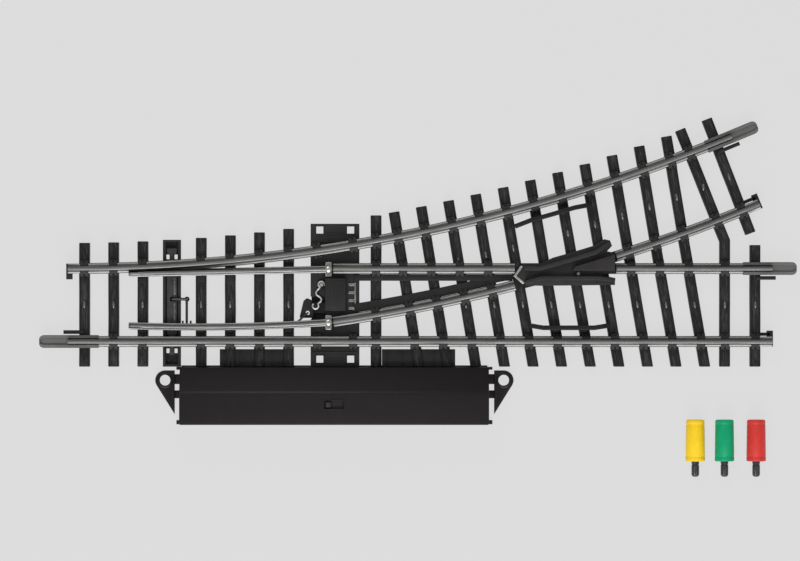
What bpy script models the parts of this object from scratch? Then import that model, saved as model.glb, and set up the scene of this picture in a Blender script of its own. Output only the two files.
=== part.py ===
"""Left-hand H0 turnout with a side-mounted electric drive and three loose wiring plugs.

Every length below is in millimetres; the helpers turn them into metres with MM.
Track frame: x runs along the straight route from the toe end, y = 0 on its centre line,
z = 0 on the surface that the sleepers stand on. The whole model hangs on one empty, which
moves the bottom centre of its box to the world origin.
The turnout lies for the straight route, which is the zero position of every joint.
"""
import math

import bmesh
import bpy
from mathutils import Matrix, Vector

MM = 0.001
WELD = 1e-6
SMOOTH_LIMIT = math.radians(35)

# Track plan
STRAIGHT_LENGTH = 168.9
BRANCH_RADIUS = 424.6
BRANCH_ANGLE = math.radians(22.5)
HALF_GAUGE = 8.75
OUTER_RADIUS = BRANCH_RADIUS + HALF_GAUGE
INNER_RADIUS = BRANCH_RADIUS - HALF_GAUGE
ARC_STEP = 7.0

# Heights
SLEEPER_TOP = 2.4
RAIL_BASE = 2.75
RAIL_HEIGHT = 2.45
RAIL_TOP = RAIL_BASE + RAIL_HEIGHT
BLADE_BASE = 3.3
WIRE_LEVEL = 2.85
WEB_BOTTOM = 0.7
WEB_TOP = 2.2
GAP = 0.2

# Rail section: half widths of foot, web and head
FOOT_HALF = 1.2
WEB_HALF = 0.35
HEAD_HALF = 0.55

# Sleepers
SLEEPER_WIDTH = 2.65
SLEEPER_PITCH = 7.0
FIRST_SLEEPER = 3.9
SLEEPER_END = -14.8
TRIM = 0.3
LAST_SLEEPER = FIRST_SLEEPER + 23 * SLEEPER_PITCH
SLEEPER_OVERHANG = 6.15
FAN_COUNT = 11
FAN_TOP_START = 78.2
FAN_TOP_PITCH = 6.54
FAN_FOOT_START = 84.2
FAN_FOOT_PITCH = 6.87

# Blades
HEEL_X = 62.5
STRAIGHT_HEEL_Y = 8.55
CURVED_HEEL_Y = -4.2
TIP_X = 14.6
STRAIGHT_TIP_Y = 7.56
CURVED_TIP_Y = -4.97
BLADE_BULGE = 0.6
PLANE_ANGLE = math.radians(1.8)
PLANE_DEPTH = 0.38
HEEL_HOLE = 0.55
HEEL_PIN = 0.38

# Linkage
STROKE = 2.8
TIE_X = FIRST_SLEEPER + 3 * SLEEPER_PITCH
TIE_WIDTH = 2.4
WIDE_SLEEPER = 4.3
CRANK_PIVOT = (28.5, 1.4)
CRANK_LONG = 5.5
SLIDE_EYE = (57.5, -1.9)
SPRING_POST = (60.8, 4.9)
SPRING_PIN = (SPRING_POST[0] - STROKE / 2, -0.2)
ARM_X = 62.5
ARM_PIN_Y = -19.2

# Base plate of the mechanism, moulded in one with the sleepers
PLATE_LEFT, PLATE_RIGHT = 58.2, 69.9
PLATE_LOW, PLATE_HIGH = -14.8, 19.5
SKIN_BOTTOM = 1.6

# Drive
DRIVE_X = ARM_X + STROKE / 2
DRIVE_HALF = 37.05
DRIVE_NEAR, DRIVE_FAR = -14.85, -28.65
DRIVE_TOP = 9.2
SHOULDER_Y, SHOULDER_Z = -20.9, 4.6
DRIVE_WALL = 0.9
BASE_TOP = 1.2
COVER_BOTTOM = BASE_TOP + GAP
EAR_OFFSET = 40.65
EAR_Y = -18.05
EAR_HOLE = 1.3
COIL_OFFSET = 20.0
COIL_LENGTH = 15.0
COIL_AXIS = (-23.6, 4.9)
PLUNGER_RADIUS = 1.25

# Frog and guard rails
FROG_START, FROG_END = 107.5, 131.2
FLANGEWAY = 1.3
WING_HALF = 0.5
GUARD_OFFSET = 3.4

# Plugs
PLUG_CENTRES = {"yellow": 150.5, "green": 157.5, "red": 165.1}
PLUG_REAR_Y = -27.5
SLEEVE_LENGTH = 10.0
SLEEVE_RADIUS = 2.35
PIN_RADIUS = 0.92
PIN_LENGTH = 3.7

COLOURS = {
    "black_plastic": ((0.020, 0.018, 0.019), 0.50, 0.0),
    "frame_plastic": ((0.024, 0.022, 0.023), 0.55, 0.0),
    "rail_steel": ((0.30, 0.29, 0.28), 0.35, 1.0),
    "spring_steel": ((0.62, 0.61, 0.58), 0.28, 1.0),
    "dark_steel": ((0.10, 0.10, 0.10), 0.40, 1.0),
    "brass": ((0.72, 0.55, 0.28), 0.30, 1.0),
    "copper": ((0.72, 0.32, 0.16), 0.35, 1.0),
    "grey_plastic": ((0.16, 0.16, 0.17), 0.50, 0.0),
    "plug_yellow": ((0.95, 0.62, 0.03), 0.40, 0.0),
    "plug_green": ((0.0, 0.35, 0.16), 0.40, 0.0),
    "plug_red": ((0.62, 0.05, 0.04), 0.40, 0.0),
}


# ---------------------------------------------------------------- scene helpers

def clear_scene():
    """Remove every object that the file opened with."""
    for item in list(bpy.data.objects):
        bpy.data.objects.remove(item, do_unlink=True)


def make_collection(name):
    group = bpy.data.collections.new(name)
    bpy.context.scene.collection.children.link(group)
    return group


def material(slot):
    """A Principled material from the COLOURS table, made once."""
    found = bpy.data.materials.get(slot)
    if found:
        return found
    colour, roughness, metallic = COLOURS[slot]
    made = bpy.data.materials.new(slot)
    made.use_nodes = True
    shader = made.node_tree.nodes["Principled BSDF"]
    shader.inputs["Base Color"].default_value = (*colour, 1.0)
    shader.inputs["Roughness"].default_value = roughness
    shader.inputs["Metallic"].default_value = metallic
    made.diffuse_color = (*colour, 1.0)
    return made


def evaluated_mesh(item):
    """The object's mesh with curves and modifiers worked out and loose caps welded."""
    graph = bpy.context.evaluated_depsgraph_get()
    graph.update()
    mesh = bpy.data.meshes.new_from_object(item.evaluated_get(graph))
    shape = bmesh.new()
    shape.from_mesh(mesh)
    bmesh.ops.remove_doubles(shape, verts=shape.verts, dist=WELD)
    bmesh.ops.recalc_face_normals(shape, faces=shape.faces)
    shape.to_mesh(mesh)
    shape.free()
    return mesh


def piece_from_mesh(mesh, name="piece"):
    item = bpy.data.objects.new(name, mesh)
    CUTTERS.objects.link(item)
    item.hide_render = True
    item.display_type = "WIRE"
    return item


def piece_from_curve(guide):
    """Turn a curve object into a welded mesh object at the same place."""
    mesh = evaluated_mesh(guide)
    item = piece_from_mesh(mesh)
    item.matrix_world = guide.matrix_world
    bpy.data.objects.remove(guide, do_unlink=True)
    return item


def finish_part(item, name, slot, smooth=False):
    """Name a piece, give it its material and move it to the collection of parts."""
    item.name = name
    item.data.name = name
    item.hide_render = False
    item.display_type = "TEXTURED"
    CUTTERS.objects.unlink(item)
    PARTS.objects.link(item)
    item.parent = TRACK
    item.data.materials.clear()
    item.data.materials.append(material(slot))
    if smooth:
        item.data.shade_smooth()
        item.data.set_sharp_from_angle(angle=SMOOTH_LIMIT)
    else:
        item.data.shade_flat()
    return item


def set_origin(item, point):
    """Move the object's origin to a point of the track frame without moving its shape."""
    offset = Vector(point) * MM - item.location
    item.data.transform(Matrix.Translation(-offset))
    item.location = item.location + offset


def combine(target, operation, pieces):
    """Join the pieces to the target, or cut them from it, and apply the result."""
    group = bpy.data.collections.new("boolean_operands")
    for item in pieces:
        group.objects.link(item)
    modifier = target.modifiers.new(operation.title(), "BOOLEAN")
    modifier.operation = operation
    modifier.operand_type = "COLLECTION"
    modifier.collection = group
    modifier.solver = "EXACT"
    result = evaluated_mesh(target)
    target.modifiers.clear()
    target.data = result
    for item in pieces:
        bpy.data.objects.remove(item, do_unlink=True)
    bpy.data.collections.remove(group)
    return target


def join(pieces):
    return combine(pieces[0], "UNION", pieces[1:])


def cut(target, cutters):
    return combine(target, "DIFFERENCE", cutters)


# ---------------------------------------------------------------- shapes

def box(x_range, y_range, z_range):
    size = [high - low for low, high in (x_range, y_range, z_range)]
    centre = [(high + low) / 2 for low, high in (x_range, y_range, z_range)]
    mesh = bpy.data.meshes.new("box")
    shape = bmesh.new()
    place = Matrix.Translation(Vector(centre) * MM) @ Matrix.Diagonal((*[MM * s for s in size], 1.0))
    bmesh.ops.create_cube(shape, size=1.0, matrix=place)
    shape.to_mesh(mesh)
    shape.free()
    return piece_from_mesh(mesh)


def bar_along(x_range, y, width, z_range):
    """A box along x, centred on a given y."""
    return box(x_range, (y - width / 2, y + width / 2), z_range)


def turned_box(centre, angle, length, width, z_range):
    """A box with its length turned by an angle in plan."""
    item = box((-length / 2, length / 2), (-width / 2, width / 2), z_range)
    item.data.transform(Matrix.Rotation(angle, 4, "Z"))
    item.data.transform(Matrix.Translation(Vector((centre[0], centre[1], 0.0)) * MM))
    return item


def cylinder(centre, radius, z_range, sides=16, top_radius=None):
    """An upright cylinder or cone between two heights."""
    mesh = bpy.data.meshes.new("cylinder")
    shape = bmesh.new()
    middle = (centre[0], centre[1], (z_range[0] + z_range[1]) / 2)
    bmesh.ops.create_cone(
        shape,
        cap_ends=True,
        segments=sides,
        radius1=radius * MM,
        radius2=(radius if top_radius is None else top_radius) * MM,
        depth=(z_range[1] - z_range[0]) * MM,
        matrix=Matrix.Translation(Vector(middle) * MM),
    )
    shape.to_mesh(mesh)
    shape.free()
    return piece_from_mesh(mesh)


def lying_cylinder(x_range, y, z, radius, sides=16):
    """A cylinder along x."""
    item = cylinder((0, 0), radius, (-(x_range[1] - x_range[0]) / 2, (x_range[1] - x_range[0]) / 2), sides)
    item.data.transform(Matrix.Rotation(math.radians(90), 4, "Y"))
    item.data.transform(Matrix.Translation(Vector(((x_range[0] + x_range[1]) / 2, y, z)) * MM))
    return item


def prism(outline, z_range):
    """A flat outline, as a filled 2D curve, between two heights."""
    curve = bpy.data.curves.new("outline", "CURVE")
    curve.dimensions = "2D"
    curve.fill_mode = "BOTH"
    curve.extrude = (z_range[1] - z_range[0]) / 2 * MM
    spline = curve.splines.new("POLY")
    spline.points.add(len(outline) - 1)
    for point, (x, y) in zip(spline.points, outline):
        point.co = (x * MM, y * MM, 0.0, 1.0)
    spline.use_cyclic_u = True
    guide = bpy.data.objects.new("outline", curve)
    CUTTERS.objects.link(guide)
    item = piece_from_curve(guide)
    item.data.transform(Matrix.Translation((0.0, 0.0, (z_range[0] + z_range[1]) / 2 * MM)))
    return item


def strip(path, width, z_range):
    """A ribbon of constant width along a plan path, mitred at its bends."""
    points = [Vector(p) for p in path]
    left, right = [], []
    for i, point in enumerate(points):
        before = (point - points[i - 1]).normalized() if i else None
        after = (points[i + 1] - point).normalized() if i + 1 < len(points) else None
        along = (before or after) + (after or before)
        along.normalize()
        side = Vector((-along.y, along.x))
        stretch = 1.0 / max(0.3, along.dot(after or before))
        left.append(point + side * (width / 2 * stretch))
        right.append(point - side * (width / 2 * stretch))
    return prism([tuple(p) for p in left + right[::-1]], z_range)


def curve_along(path, closed=False):
    """A 3D poly curve through points given as (x, y, z)."""
    curve = bpy.data.curves.new("path", "CURVE")
    curve.dimensions = "3D"
    spline = curve.splines.new("POLY")
    spline.points.add(len(path) - 1)
    for point, place in zip(spline.points, path):
        point.co = (*(Vector(place) * MM), 1.0)
    spline.use_cyclic_u = closed
    return curve


def wire(path, radius):
    """A round wire with filled ends."""
    curve = curve_along(path)
    curve.bevel_depth = radius * MM
    curve.bevel_resolution = 2
    curve.use_fill_caps = True
    guide = bpy.data.objects.new("wire", curve)
    CUTTERS.objects.link(guide)
    return piece_from_curve(guide)


def swept(path, section, base):
    """Carry an upright section, as (side, height) points, along a plan path."""
    outline = bpy.data.curves.new("section", "CURVE")
    outline.dimensions = "2D"
    spline = outline.splines.new("POLY")
    spline.points.add(len(section) - 1)
    for point, (side, height) in zip(spline.points, section):
        point.co = (side * MM, height * MM, 0.0, 1.0)
    spline.use_cyclic_u = True
    profile = bpy.data.objects.new("section", outline)
    CUTTERS.objects.link(profile)
    curve = curve_along([(x, y, base) for x, y in path])
    curve.twist_mode = "Z_UP"
    curve.bevel_mode = "OBJECT"
    curve.bevel_object = profile
    curve.use_fill_caps = True
    guide = bpy.data.objects.new("sweep", curve)
    CUTTERS.objects.link(guide)
    item = piece_from_curve(guide)
    bpy.data.objects.remove(profile, do_unlink=True)
    return item


def turned(profile, centre, direction, steps=20):
    """Turn a profile of (radius, height) points, top to bottom, about an axis."""
    mesh = bpy.data.meshes.new("profile")
    shape = bmesh.new()
    verts = [shape.verts.new((radius * MM, 0.0, height * MM)) for radius, height in profile]
    for first, second in zip(verts, verts[1:]):
        shape.edges.new((first, second))
    shape.to_mesh(mesh)
    shape.free()
    item = piece_from_mesh(mesh)
    screw = item.modifiers.new("Screw", "SCREW")
    screw.steps = steps
    screw.render_steps = steps
    screw.use_merge_vertices = True
    screw.merge_threshold = 1e-5
    item.data = evaluated_mesh(item)
    item.modifiers.clear()
    turn = Vector((0.0, 0.0, 1.0)).rotation_difference(Vector(direction)).to_matrix().to_4x4()
    item.data.transform(turn)
    item.data.transform(Matrix.Translation(Vector(centre) * MM))
    return item


# ---------------------------------------------------------------- track geometry

def arc_y(radius, x):
    """Height in plan of a branch arc at a given x."""
    return BRANCH_RADIUS - math.sqrt(radius ** 2 - x ** 2)


def arc_path(radius, start, end):
    """Points along a branch arc between two x values."""
    first, last = math.asin(start / radius), math.asin(end / radius)
    count = max(1, round(radius * (last - first) / ARC_STEP))
    angles = [first + (last - first) * i / count for i in range(count + 1)]
    return [(radius * math.sin(a), BRANCH_RADIUS - radius * math.cos(a)) for a in angles]


def branch_end(radius):
    """The x at which a branch rail ends."""
    return radius * math.sin(BRANCH_ANGLE)


def branch_end_point(radius):
    """The place where a branch rail ends and the direction that it runs out in."""
    end = Vector((branch_end(radius), BRANCH_RADIUS - radius * math.cos(BRANCH_ANGLE)))
    along = Vector((math.cos(BRANCH_ANGLE), math.sin(BRANCH_ANGLE)))
    return end, along


def rail_section(foot=FOOT_HALF, web=WEB_HALF, head=HEAD_HALF, height=RAIL_HEIGHT):
    """Flat-bottom rail outline about its centre line, from the foot upwards."""
    right = [
        (foot, 0.0),
        (foot, 0.28),
        (web, 0.5),
        (web, height - 0.95),
        (head, height - 0.75),
        (head, height - 0.12),
        (head - 0.12, height),
    ]
    return right + [(-side, up) for side, up in reversed(right)]


def sleeper_layout():
    """Plan paths of every sleeper, each from its upper end to its lower end.

    The slanting ones run TRIM too far, because their lower ends are cut off level.
    """
    layout = []
    upright = [FIRST_SLEEPER + SLEEPER_PITCH * i for i in (0, 1, 2, 4, 5, 6, 7, 10)]
    for x in upright:
        layout.append([(x, arc_y(INNER_RADIUS, x) + SLEEPER_OVERHANG), (x, SLEEPER_END)])
    for i in range(FAN_COUNT):
        top = FAN_TOP_START + FAN_TOP_PITCH * i
        foot = FAN_FOOT_START + FAN_FOOT_PITCH * i
        layout.append([(top, arc_y(INNER_RADIUS, top) + SLEEPER_OVERHANG), (foot, SLEEPER_END - TRIM)])
    bent = FIRST_SLEEPER + 22 * SLEEPER_PITCH
    layout.append([(146.9, 42.1), (bent - 0.3, 15.4), (bent - 0.3, SLEEPER_END)])
    layout.append([(153.3, 44.6), (163.8, 17.2)])
    layout.append([(LAST_SLEEPER, 14.4), (LAST_SLEEPER, SLEEPER_END)])
    return layout


def crossing(path, rail_y):
    """Where a sleeper's path crosses a rail, or None."""
    for (x0, y0), (x1, y1) in zip(path, path[1:]):
        share = 0.5
        for _ in range(6):
            x = x0 + (x1 - x0) * share
            share = (rail_y(x) - y0) / (y1 - y0)
        if 0.0 < share < 1.0:
            return x0 + (x1 - x0) * share, rail_y(x0 + (x1 - x0) * share)
    return None


def rail_lines():
    """Each rail's y(x), its slope angle and the x ranges where sleepers carry chairs for it."""
    def straight(y):
        return lambda x: y

    def curved(radius):
        return lambda x: arc_y(radius, x)

    def level(x):
        return 0.0

    def slope(radius):
        return lambda x: math.asin(x / radius)

    behind_frog = (FROG_END, 162.0)
    before_frog = (PLATE_RIGHT, FROG_START)
    return [
        (straight(-HALF_GAUGE), level, [(5.0, PLATE_LEFT), (PLATE_RIGHT, 166.0)]),
        (curved(INNER_RADIUS), slope(INNER_RADIUS), [(0.0, PLATE_LEFT), (PLATE_RIGHT, 150.0)]),
        (straight(HALF_GAUGE), level, [before_frog, behind_frog]),
        (curved(OUTER_RADIUS), slope(OUTER_RADIUS), [before_frog, (FROG_END, 166.0)]),
    ]


# ---------------------------------------------------------------- sleeper frame

def chair_clips(layout):
    """A pair of clips beside the rail foot wherever a sleeper carries a rail."""
    clips = []
    for path in layout:
        for rail_y, slope, ranges in rail_lines():
            found = crossing(path, rail_y)
            if not found or not any(low < found[0] < high for low, high in ranges):
                continue
            angle = slope(found[0])
            side = Vector((-math.sin(angle), math.cos(angle))) * (FOOT_HALF + 0.55)
            for sign in (1, -1):
                centre = Vector(found) + side * sign
                clips.append(turned_box(centre, angle, 1.5, 0.7, (SLEEPER_TOP - 0.5, SLEEPER_TOP + 0.9)))
    return clips


def rail_webs():
    """The bars that tie the sleepers together under the rails."""
    width = 2 * FOOT_HALF + 0.2
    section = [(width / 2, 0.0), (width / 2, WEB_TOP - WEB_BOTTOM)]
    section += [(-side, up) for side, up in reversed(section)]
    paths = [
        [(FIRST_SLEEPER, -HALF_GAUGE), (LAST_SLEEPER, -HALF_GAUGE)],
        [(PLATE_RIGHT - 1.0, HALF_GAUGE), (LAST_SLEEPER, HALF_GAUGE)],
        arc_path(INNER_RADIUS, FIRST_SLEEPER, 155.5),
        arc_path(OUTER_RADIUS, PLATE_RIGHT - 1.0, 161.6),
    ]
    return [swept(path, section, WEB_BOTTOM) for path in paths]


def rail_stop(end, angle, bar_length):
    """A stop under a rail end that hooks round its inner side, on a bar from the last sleeper.

    The inner side is to the left of the outward direction at all three stops.
    """
    heights = (0.8, SLEEPER_TOP - 0.05)
    along = Vector((math.cos(angle), math.sin(angle)))
    side = Vector((-along.y, along.x))
    end = Vector(end)
    outer_edge, inner_edge = -FOOT_HALF, FOOT_HALF + 1.4
    hook = end + side * (outer_edge + inner_edge) / 2
    pieces = [turned_box(hook, angle, 1.5, inner_edge - outer_edge, heights)]
    if bar_length:
        bar = end - along * bar_length / 2 + side * (FOOT_HALF + 0.55)
        pieces.append(turned_box(bar, angle, bar_length, 0.8, heights))
    return pieces


def end_tabs():
    """Tongues and stops at the rail ends that line up with the next track."""
    low = 0.9
    tongue_gap = FOOT_HALF + 1.05
    tongue_width = 0.9
    tongue_heights = (low, SLEEPER_TOP + 0.35)
    bar_width = 1.6
    bar_heights = (low, WEB_TOP - 0.1)
    bar_reach = STRAIGHT_LENGTH - LAST_SLEEPER
    tabs = [
        bar_along((-1.1, FIRST_SLEEPER), tongue_gap - HALF_GAUGE, tongue_width, tongue_heights),
        bar_along((LAST_SLEEPER, 169.8), HALF_GAUGE - tongue_gap, tongue_width, tongue_heights),
        bar_along((0.0, FIRST_SLEEPER), HALF_GAUGE, bar_width, bar_heights),
        bar_along((LAST_SLEEPER, STRAIGHT_LENGTH), -HALF_GAUGE, bar_width, bar_heights),
    ]
    tabs += rail_stop((0.3, HALF_GAUGE), math.pi, 0.0)
    tabs += rail_stop((STRAIGHT_LENGTH - 0.5, -HALF_GAUGE), 0.0, bar_reach)
    end, along = branch_end_point(INNER_RADIUS)
    side = Vector((-along.y, along.x))
    tongue_centre = end - along * 1.6 - side * tongue_gap
    tabs.append(turned_box(tongue_centre, BRANCH_ANGLE, 5.6, tongue_width, tongue_heights))
    end, along = branch_end_point(OUTER_RADIUS)
    tabs.append(turned_box(end - along * 1.9, BRANCH_ANGLE, 4.4, bar_width, bar_heights))
    tabs += rail_stop(end - along * 0.3, BRANCH_ANGLE, bar_reach)
    return tabs


def drive_webs():
    """Plates between the sleeper ends that the drive hooks under."""
    return [
        box((36.4, 53.9), (SLEEPER_END, -10.6), (0.75, 2.1)),
        box((75.3, 92.9), (SLEEPER_END, -10.6), (0.75, 2.1)),
    ]


def plate_cuts():
    """Openings of the base plate for holes, slide, arm, pins and post."""
    under = (-0.1, SKIN_BOTTOM)
    through = (-0.1, SLEEPER_TOP + 0.3)
    eye_x, eye_y = SLIDE_EYE
    cuts = [
        box((PLATE_LEFT - 0.3, 67.2), (-2.3, 0.9), under),
        box((ARM_X - 0.85, ARM_X + STROKE + 0.85), (PLATE_LOW - 0.3, -2.0), (-0.1, SKIN_BOTTOM - 0.08)),
        box((PLATE_LEFT - 0.3, PLATE_RIGHT - 2.3), (-11.9, 2.6), (-0.1, 0.55)),
        box((PLATE_LEFT - 0.3, eye_x + STROKE + 1.75), (eye_y - 1.5, eye_y + 3.9), through),
        box((61.5, SPRING_PIN[0] + STROKE + 1.25), (-1.2, 0.8), through),
        cylinder((HEEL_X, STRAIGHT_HEEL_Y), HEEL_HOLE, through, 12),
        cylinder((HEEL_X, CURVED_HEEL_Y), HEEL_HOLE, through, 12),
        cylinder(SPRING_POST, 0.5, (1.0, SLEEPER_TOP + 0.3), 12),
    ]
    for x in (60.4, 67.8):
        for y in (-13.0, 18.0):
            cuts.append(box((x - 0.85, x + 0.85), (y - 0.85, y + 0.85), through))
    return cuts


def make_sleeper_frame():
    """Sleepers, webs, chairs, base plate and brackets as one moulding."""
    layout = sleeper_layout()
    wood = (0.0, SLEEPER_TOP)
    pieces = [box((PLATE_LEFT, PLATE_RIGHT), (PLATE_LOW, PLATE_HIGH), wood)]
    pieces += [strip(path, SLEEPER_WIDTH, wood) for path in layout]
    wide_top = arc_y(INNER_RADIUS, TIE_X) + SLEEPER_OVERHANG
    pieces.append(box((TIE_X - WIDE_SLEEPER / 2, TIE_X + WIDE_SLEEPER / 2), (SLEEPER_END, wide_top), wood))
    pieces += rail_webs()
    pieces += chair_clips(layout)
    pieces += end_tabs()
    pieces += drive_webs()
    pivot_x, pivot_y = CRANK_PIVOT
    pieces.append(box((TIE_X + 1.9, pivot_x), (pivot_y - 0.6, pivot_y + 0.6), (0.6, 1.9)))
    pieces.append(cylinder(CRANK_PIVOT, 0.8, (0.6, 1.9)))
    frame = join(pieces)
    groove = TIE_WIDTH / 2 + 0.25
    cuts = plate_cuts()
    past_ends = (SLEEPER_END - 1.0, SLEEPER_END)
    cuts.append(box((FAN_TOP_START, LAST_SLEEPER), past_ends, (-0.1, SLEEPER_TOP + 0.1)))
    cuts.append(box((TIE_X - groove, TIE_X + groove), (SLEEPER_END + 0.6, wide_top - 0.6), (1.1, 3.0)))
    cuts.append(cylinder(CRANK_PIVOT, 0.45, (0.3, 2.2), 12))
    cut(frame, cuts)
    return finish_part(frame, "sleeper_frame", "frame_plastic")


# ---------------------------------------------------------------- rails

def make_fixed_rails():
    """The six rails that don't move."""
    heel_end = HEEL_X + 1.15
    paths = {
        "straight_stock_rail": [(0.0, -HALF_GAUGE), (STRAIGHT_LENGTH, -HALF_GAUGE)],
        "curved_stock_rail": arc_path(INNER_RADIUS, 0.0, branch_end(INNER_RADIUS)),
        "straight_closure_rail": [(heel_end, HALF_GAUGE), (FROG_START - 0.3, HALF_GAUGE)],
        "curved_closure_rail": arc_path(OUTER_RADIUS, heel_end, FROG_START - 0.3),
        "straight_exit_rail": [(FROG_END + 0.3, HALF_GAUGE), (STRAIGHT_LENGTH, HALF_GAUGE)],
        "curved_exit_rail": arc_path(OUTER_RADIUS, FROG_END + 0.3, branch_end(OUTER_RADIUS)),
    }
    for name, path in paths.items():
        finish_part(swept(path, rail_section(), RAIL_BASE), name, "rail_steel")


def joiner_section():
    """A folded sheet channel that wraps the rail foot."""
    inner, thick, rise = FOOT_HALF + 0.12, 0.22, 0.75
    outer = inner + thick
    lip = 0.75
    right = [
        (outer, 0.0),
        (outer, rise + thick),
        (lip, rise + thick),
        (lip, rise),
        (inner, rise),
        (inner, thick),
    ]
    return right + [(-side, up) for side, up in reversed(right)]


def make_rail_joiners():
    """Three sheet-metal sleeves, each on the left rail as seen leaving the track."""
    base = SLEEPER_TOP + 0.05
    end, along = branch_end_point(INNER_RADIUS)
    paths = {
        "toe_rail_joiner": [(-6.9, -HALF_GAUGE), (7.4, -HALF_GAUGE)],
        "straight_rail_joiner": [(161.9, HALF_GAUGE), (STRAIGHT_LENGTH + 5.9, HALF_GAUGE)],
        "branch_rail_joiner": [tuple(end - along * 6.5), tuple(end + along * 6.7)],
    }
    for name, path in paths.items():
        finish_part(swept(path, joiner_section(), base), name, "rail_steel")


def blade_section():
    """The lower, narrower rail of the blades."""
    return rail_section(foot=0.85, web=0.3, head=0.45, height=RAIL_TOP - 0.1 - BLADE_BASE)


def heel_eye(centre):
    """The round end of a blade that turns on its heel pin."""
    return cylinder(centre, 0.95, (SLEEPER_TOP + 0.2, RAIL_TOP - 0.18), 20)


def planing(path, stock_side):
    """The cutter that thins a blade's head towards its tip, on the stock rail's side."""
    run = Vector(path[1]) - Vector(path[0])
    slant = math.atan2(run.y, run.x) + stock_side * PLANE_ANGLE
    width = 2.0
    centre = (path[0][0] + 3.0, path[0][1] + stock_side * (width / 2 + PLANE_DEPTH))
    return turned_box(centre, slant, 16.0, width, (BLADE_BASE + 0.6, RAIL_TOP + 0.5))


def make_blade(name, heel, tip, bulge, stock_side):
    """A blade from its heel eye to its planed tip, with the peg that the tie bar drives."""
    heel_point, tip_point = Vector(heel), Vector(tip)
    count = 6 if bulge else 1
    along = heel_point - tip_point
    normal = Vector((-along.y, along.x)).normalized()
    path = []
    for i in range(count + 1):
        share = i / count
        path.append(tuple(tip_point + along * share - normal * (4 * bulge * share * (1 - share))))
    blade = swept(path, blade_section(), BLADE_BASE)
    peg_share = (TIE_X - tip[0]) / (heel[0] - tip[0])
    peg_y = tip[1] + along.y * peg_share - 4 * bulge * peg_share * (1 - peg_share)
    peg = cylinder((TIE_X, peg_y), 0.42, (1.5, BLADE_BASE + 0.5), 12)
    blade = join([blade, heel_eye(heel), peg])
    bore = cylinder(heel, 0.5, (SLEEPER_TOP, RAIL_TOP + 0.5), 16)
    cut(blade, [bore, planing(path, stock_side)])
    finish_part(blade, name, "rail_steel")
    set_origin(blade, (heel[0], heel[1], BLADE_BASE))
    return peg_y


def make_blades():
    """Both blades, and the places of their pegs."""
    straight = make_blade(
        "straight_blade", (HEEL_X, STRAIGHT_HEEL_Y), (TIP_X, STRAIGHT_TIP_Y), 0.0, 1
    )
    curved = make_blade(
        "curved_blade", (HEEL_X, CURVED_HEEL_Y), (TIP_X, CURVED_TIP_Y), BLADE_BULGE, -1
    )
    return straight, curved


def make_heel_pins():
    """Riveted pins that the blades turn on."""
    for name, y in (("straight_heel_pin", STRAIGHT_HEEL_Y), ("curved_heel_pin", CURVED_HEEL_Y)):
        pin = cylinder((HEEL_X, y), HEEL_PIN, (SKIN_BOTTOM + 0.1, RAIL_TOP - 0.15), 12)
        finish_part(pin, name, "spring_steel", smooth=True)


# ---------------------------------------------------------------- frog and guard rails

def make_frog():
    """Base plate, two wing rails and the nose, moulded in black plastic."""
    top = RAIL_TOP
    floor = RAIL_BASE + 0.75
    straight_wing_y = HALF_GAUGE - HEAD_HALF - FLANGEWAY - WING_HALF
    wing_radius = OUTER_RADIUS - HEAD_HALF - FLANGEWAY - WING_HALF
    lower_knee = math.sqrt(OUTER_RADIUS ** 2 - (BRANCH_RADIUS - straight_wing_y) ** 2)
    upper_knee = math.sqrt(wing_radius ** 2 - (BRANCH_RADIUS - HALF_GAUGE) ** 2)
    upper_path = [(FROG_START + 1.9, HALF_GAUGE)] + arc_path(wing_radius, upper_knee, 126.6)
    upper_path.append((129.9, arc_y(wing_radius, 129.9) + 1.2))
    lower_path = arc_path(OUTER_RADIUS, FROG_START + 2.2, lower_knee)
    lower_path += [(127.5, straight_wing_y), (FROG_END, straight_wing_y - 0.5)]
    nose_low = HALF_GAUGE - HEAD_HALF
    nose_radius = OUTER_RADIUS - HEAD_HALF
    nose_tip = 121.0
    nose_upper = arc_path(nose_radius, nose_tip, FROG_END)
    nose = [(nose_tip, nose_low)] + [(FROG_END, nose_low)] + nose_upper[::-1]
    point = [(FROG_START + 2.5, 4.7), (FROG_START - 0.1, 6.9), (FROG_START + 1.7, 9.9)]
    upper_side = [(upper_knee, 9.9)] + arc_path(wing_radius - 1.7, upper_knee + 3.0, 126.0)
    flare = [(128.6, 15.8), (130.0, 15.5), (130.5, 14.2), (129.3, 12.9), (FROG_END, 12.5)]
    slit = [(FROG_END, 7.9), (128.2, 7.1), (FROG_END, 6.5)]
    base = point + upper_side + flare + slit + [(FROG_END, 4.8), (lower_knee, 4.6)]
    frog = join([
        prism(base, (RAIL_BASE, floor)),
        strip(upper_path, 2 * WING_HALF, (RAIL_BASE + 0.3, top)),
        strip(lower_path, 2 * WING_HALF, (RAIL_BASE + 0.3, top)),
        prism(nose, (RAIL_BASE + 0.3, top)),
    ])
    finish_part(frog, "frog", "black_plastic")


def make_guard_rails():
    """Check rails beside the stock rails, opposite the frog, with flared ends."""
    radius = INNER_RADIUS + GUARD_OFFSET
    middle = arc_path(radius, 111.0, 121.5)
    start = (107.2, arc_y(radius, 107.2) - 0.45)
    finish = (125.3, arc_y(radius, 125.3) - 0.45)
    level = -HALF_GAUGE + GUARD_OFFSET - 0.1
    paths = {
        "upper_guard_rail": [start] + middle + [finish],
        "lower_guard_rail": [(110.4, level + 0.6), (114.0, level), (126.2, level), (130.0, level + 0.6)],
    }
    for name, path in paths.items():
        finish_part(strip(path, 1.05, (RAIL_BASE, RAIL_TOP - 0.1)), name, "black_plastic")


# ---------------------------------------------------------------- point linkage

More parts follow.
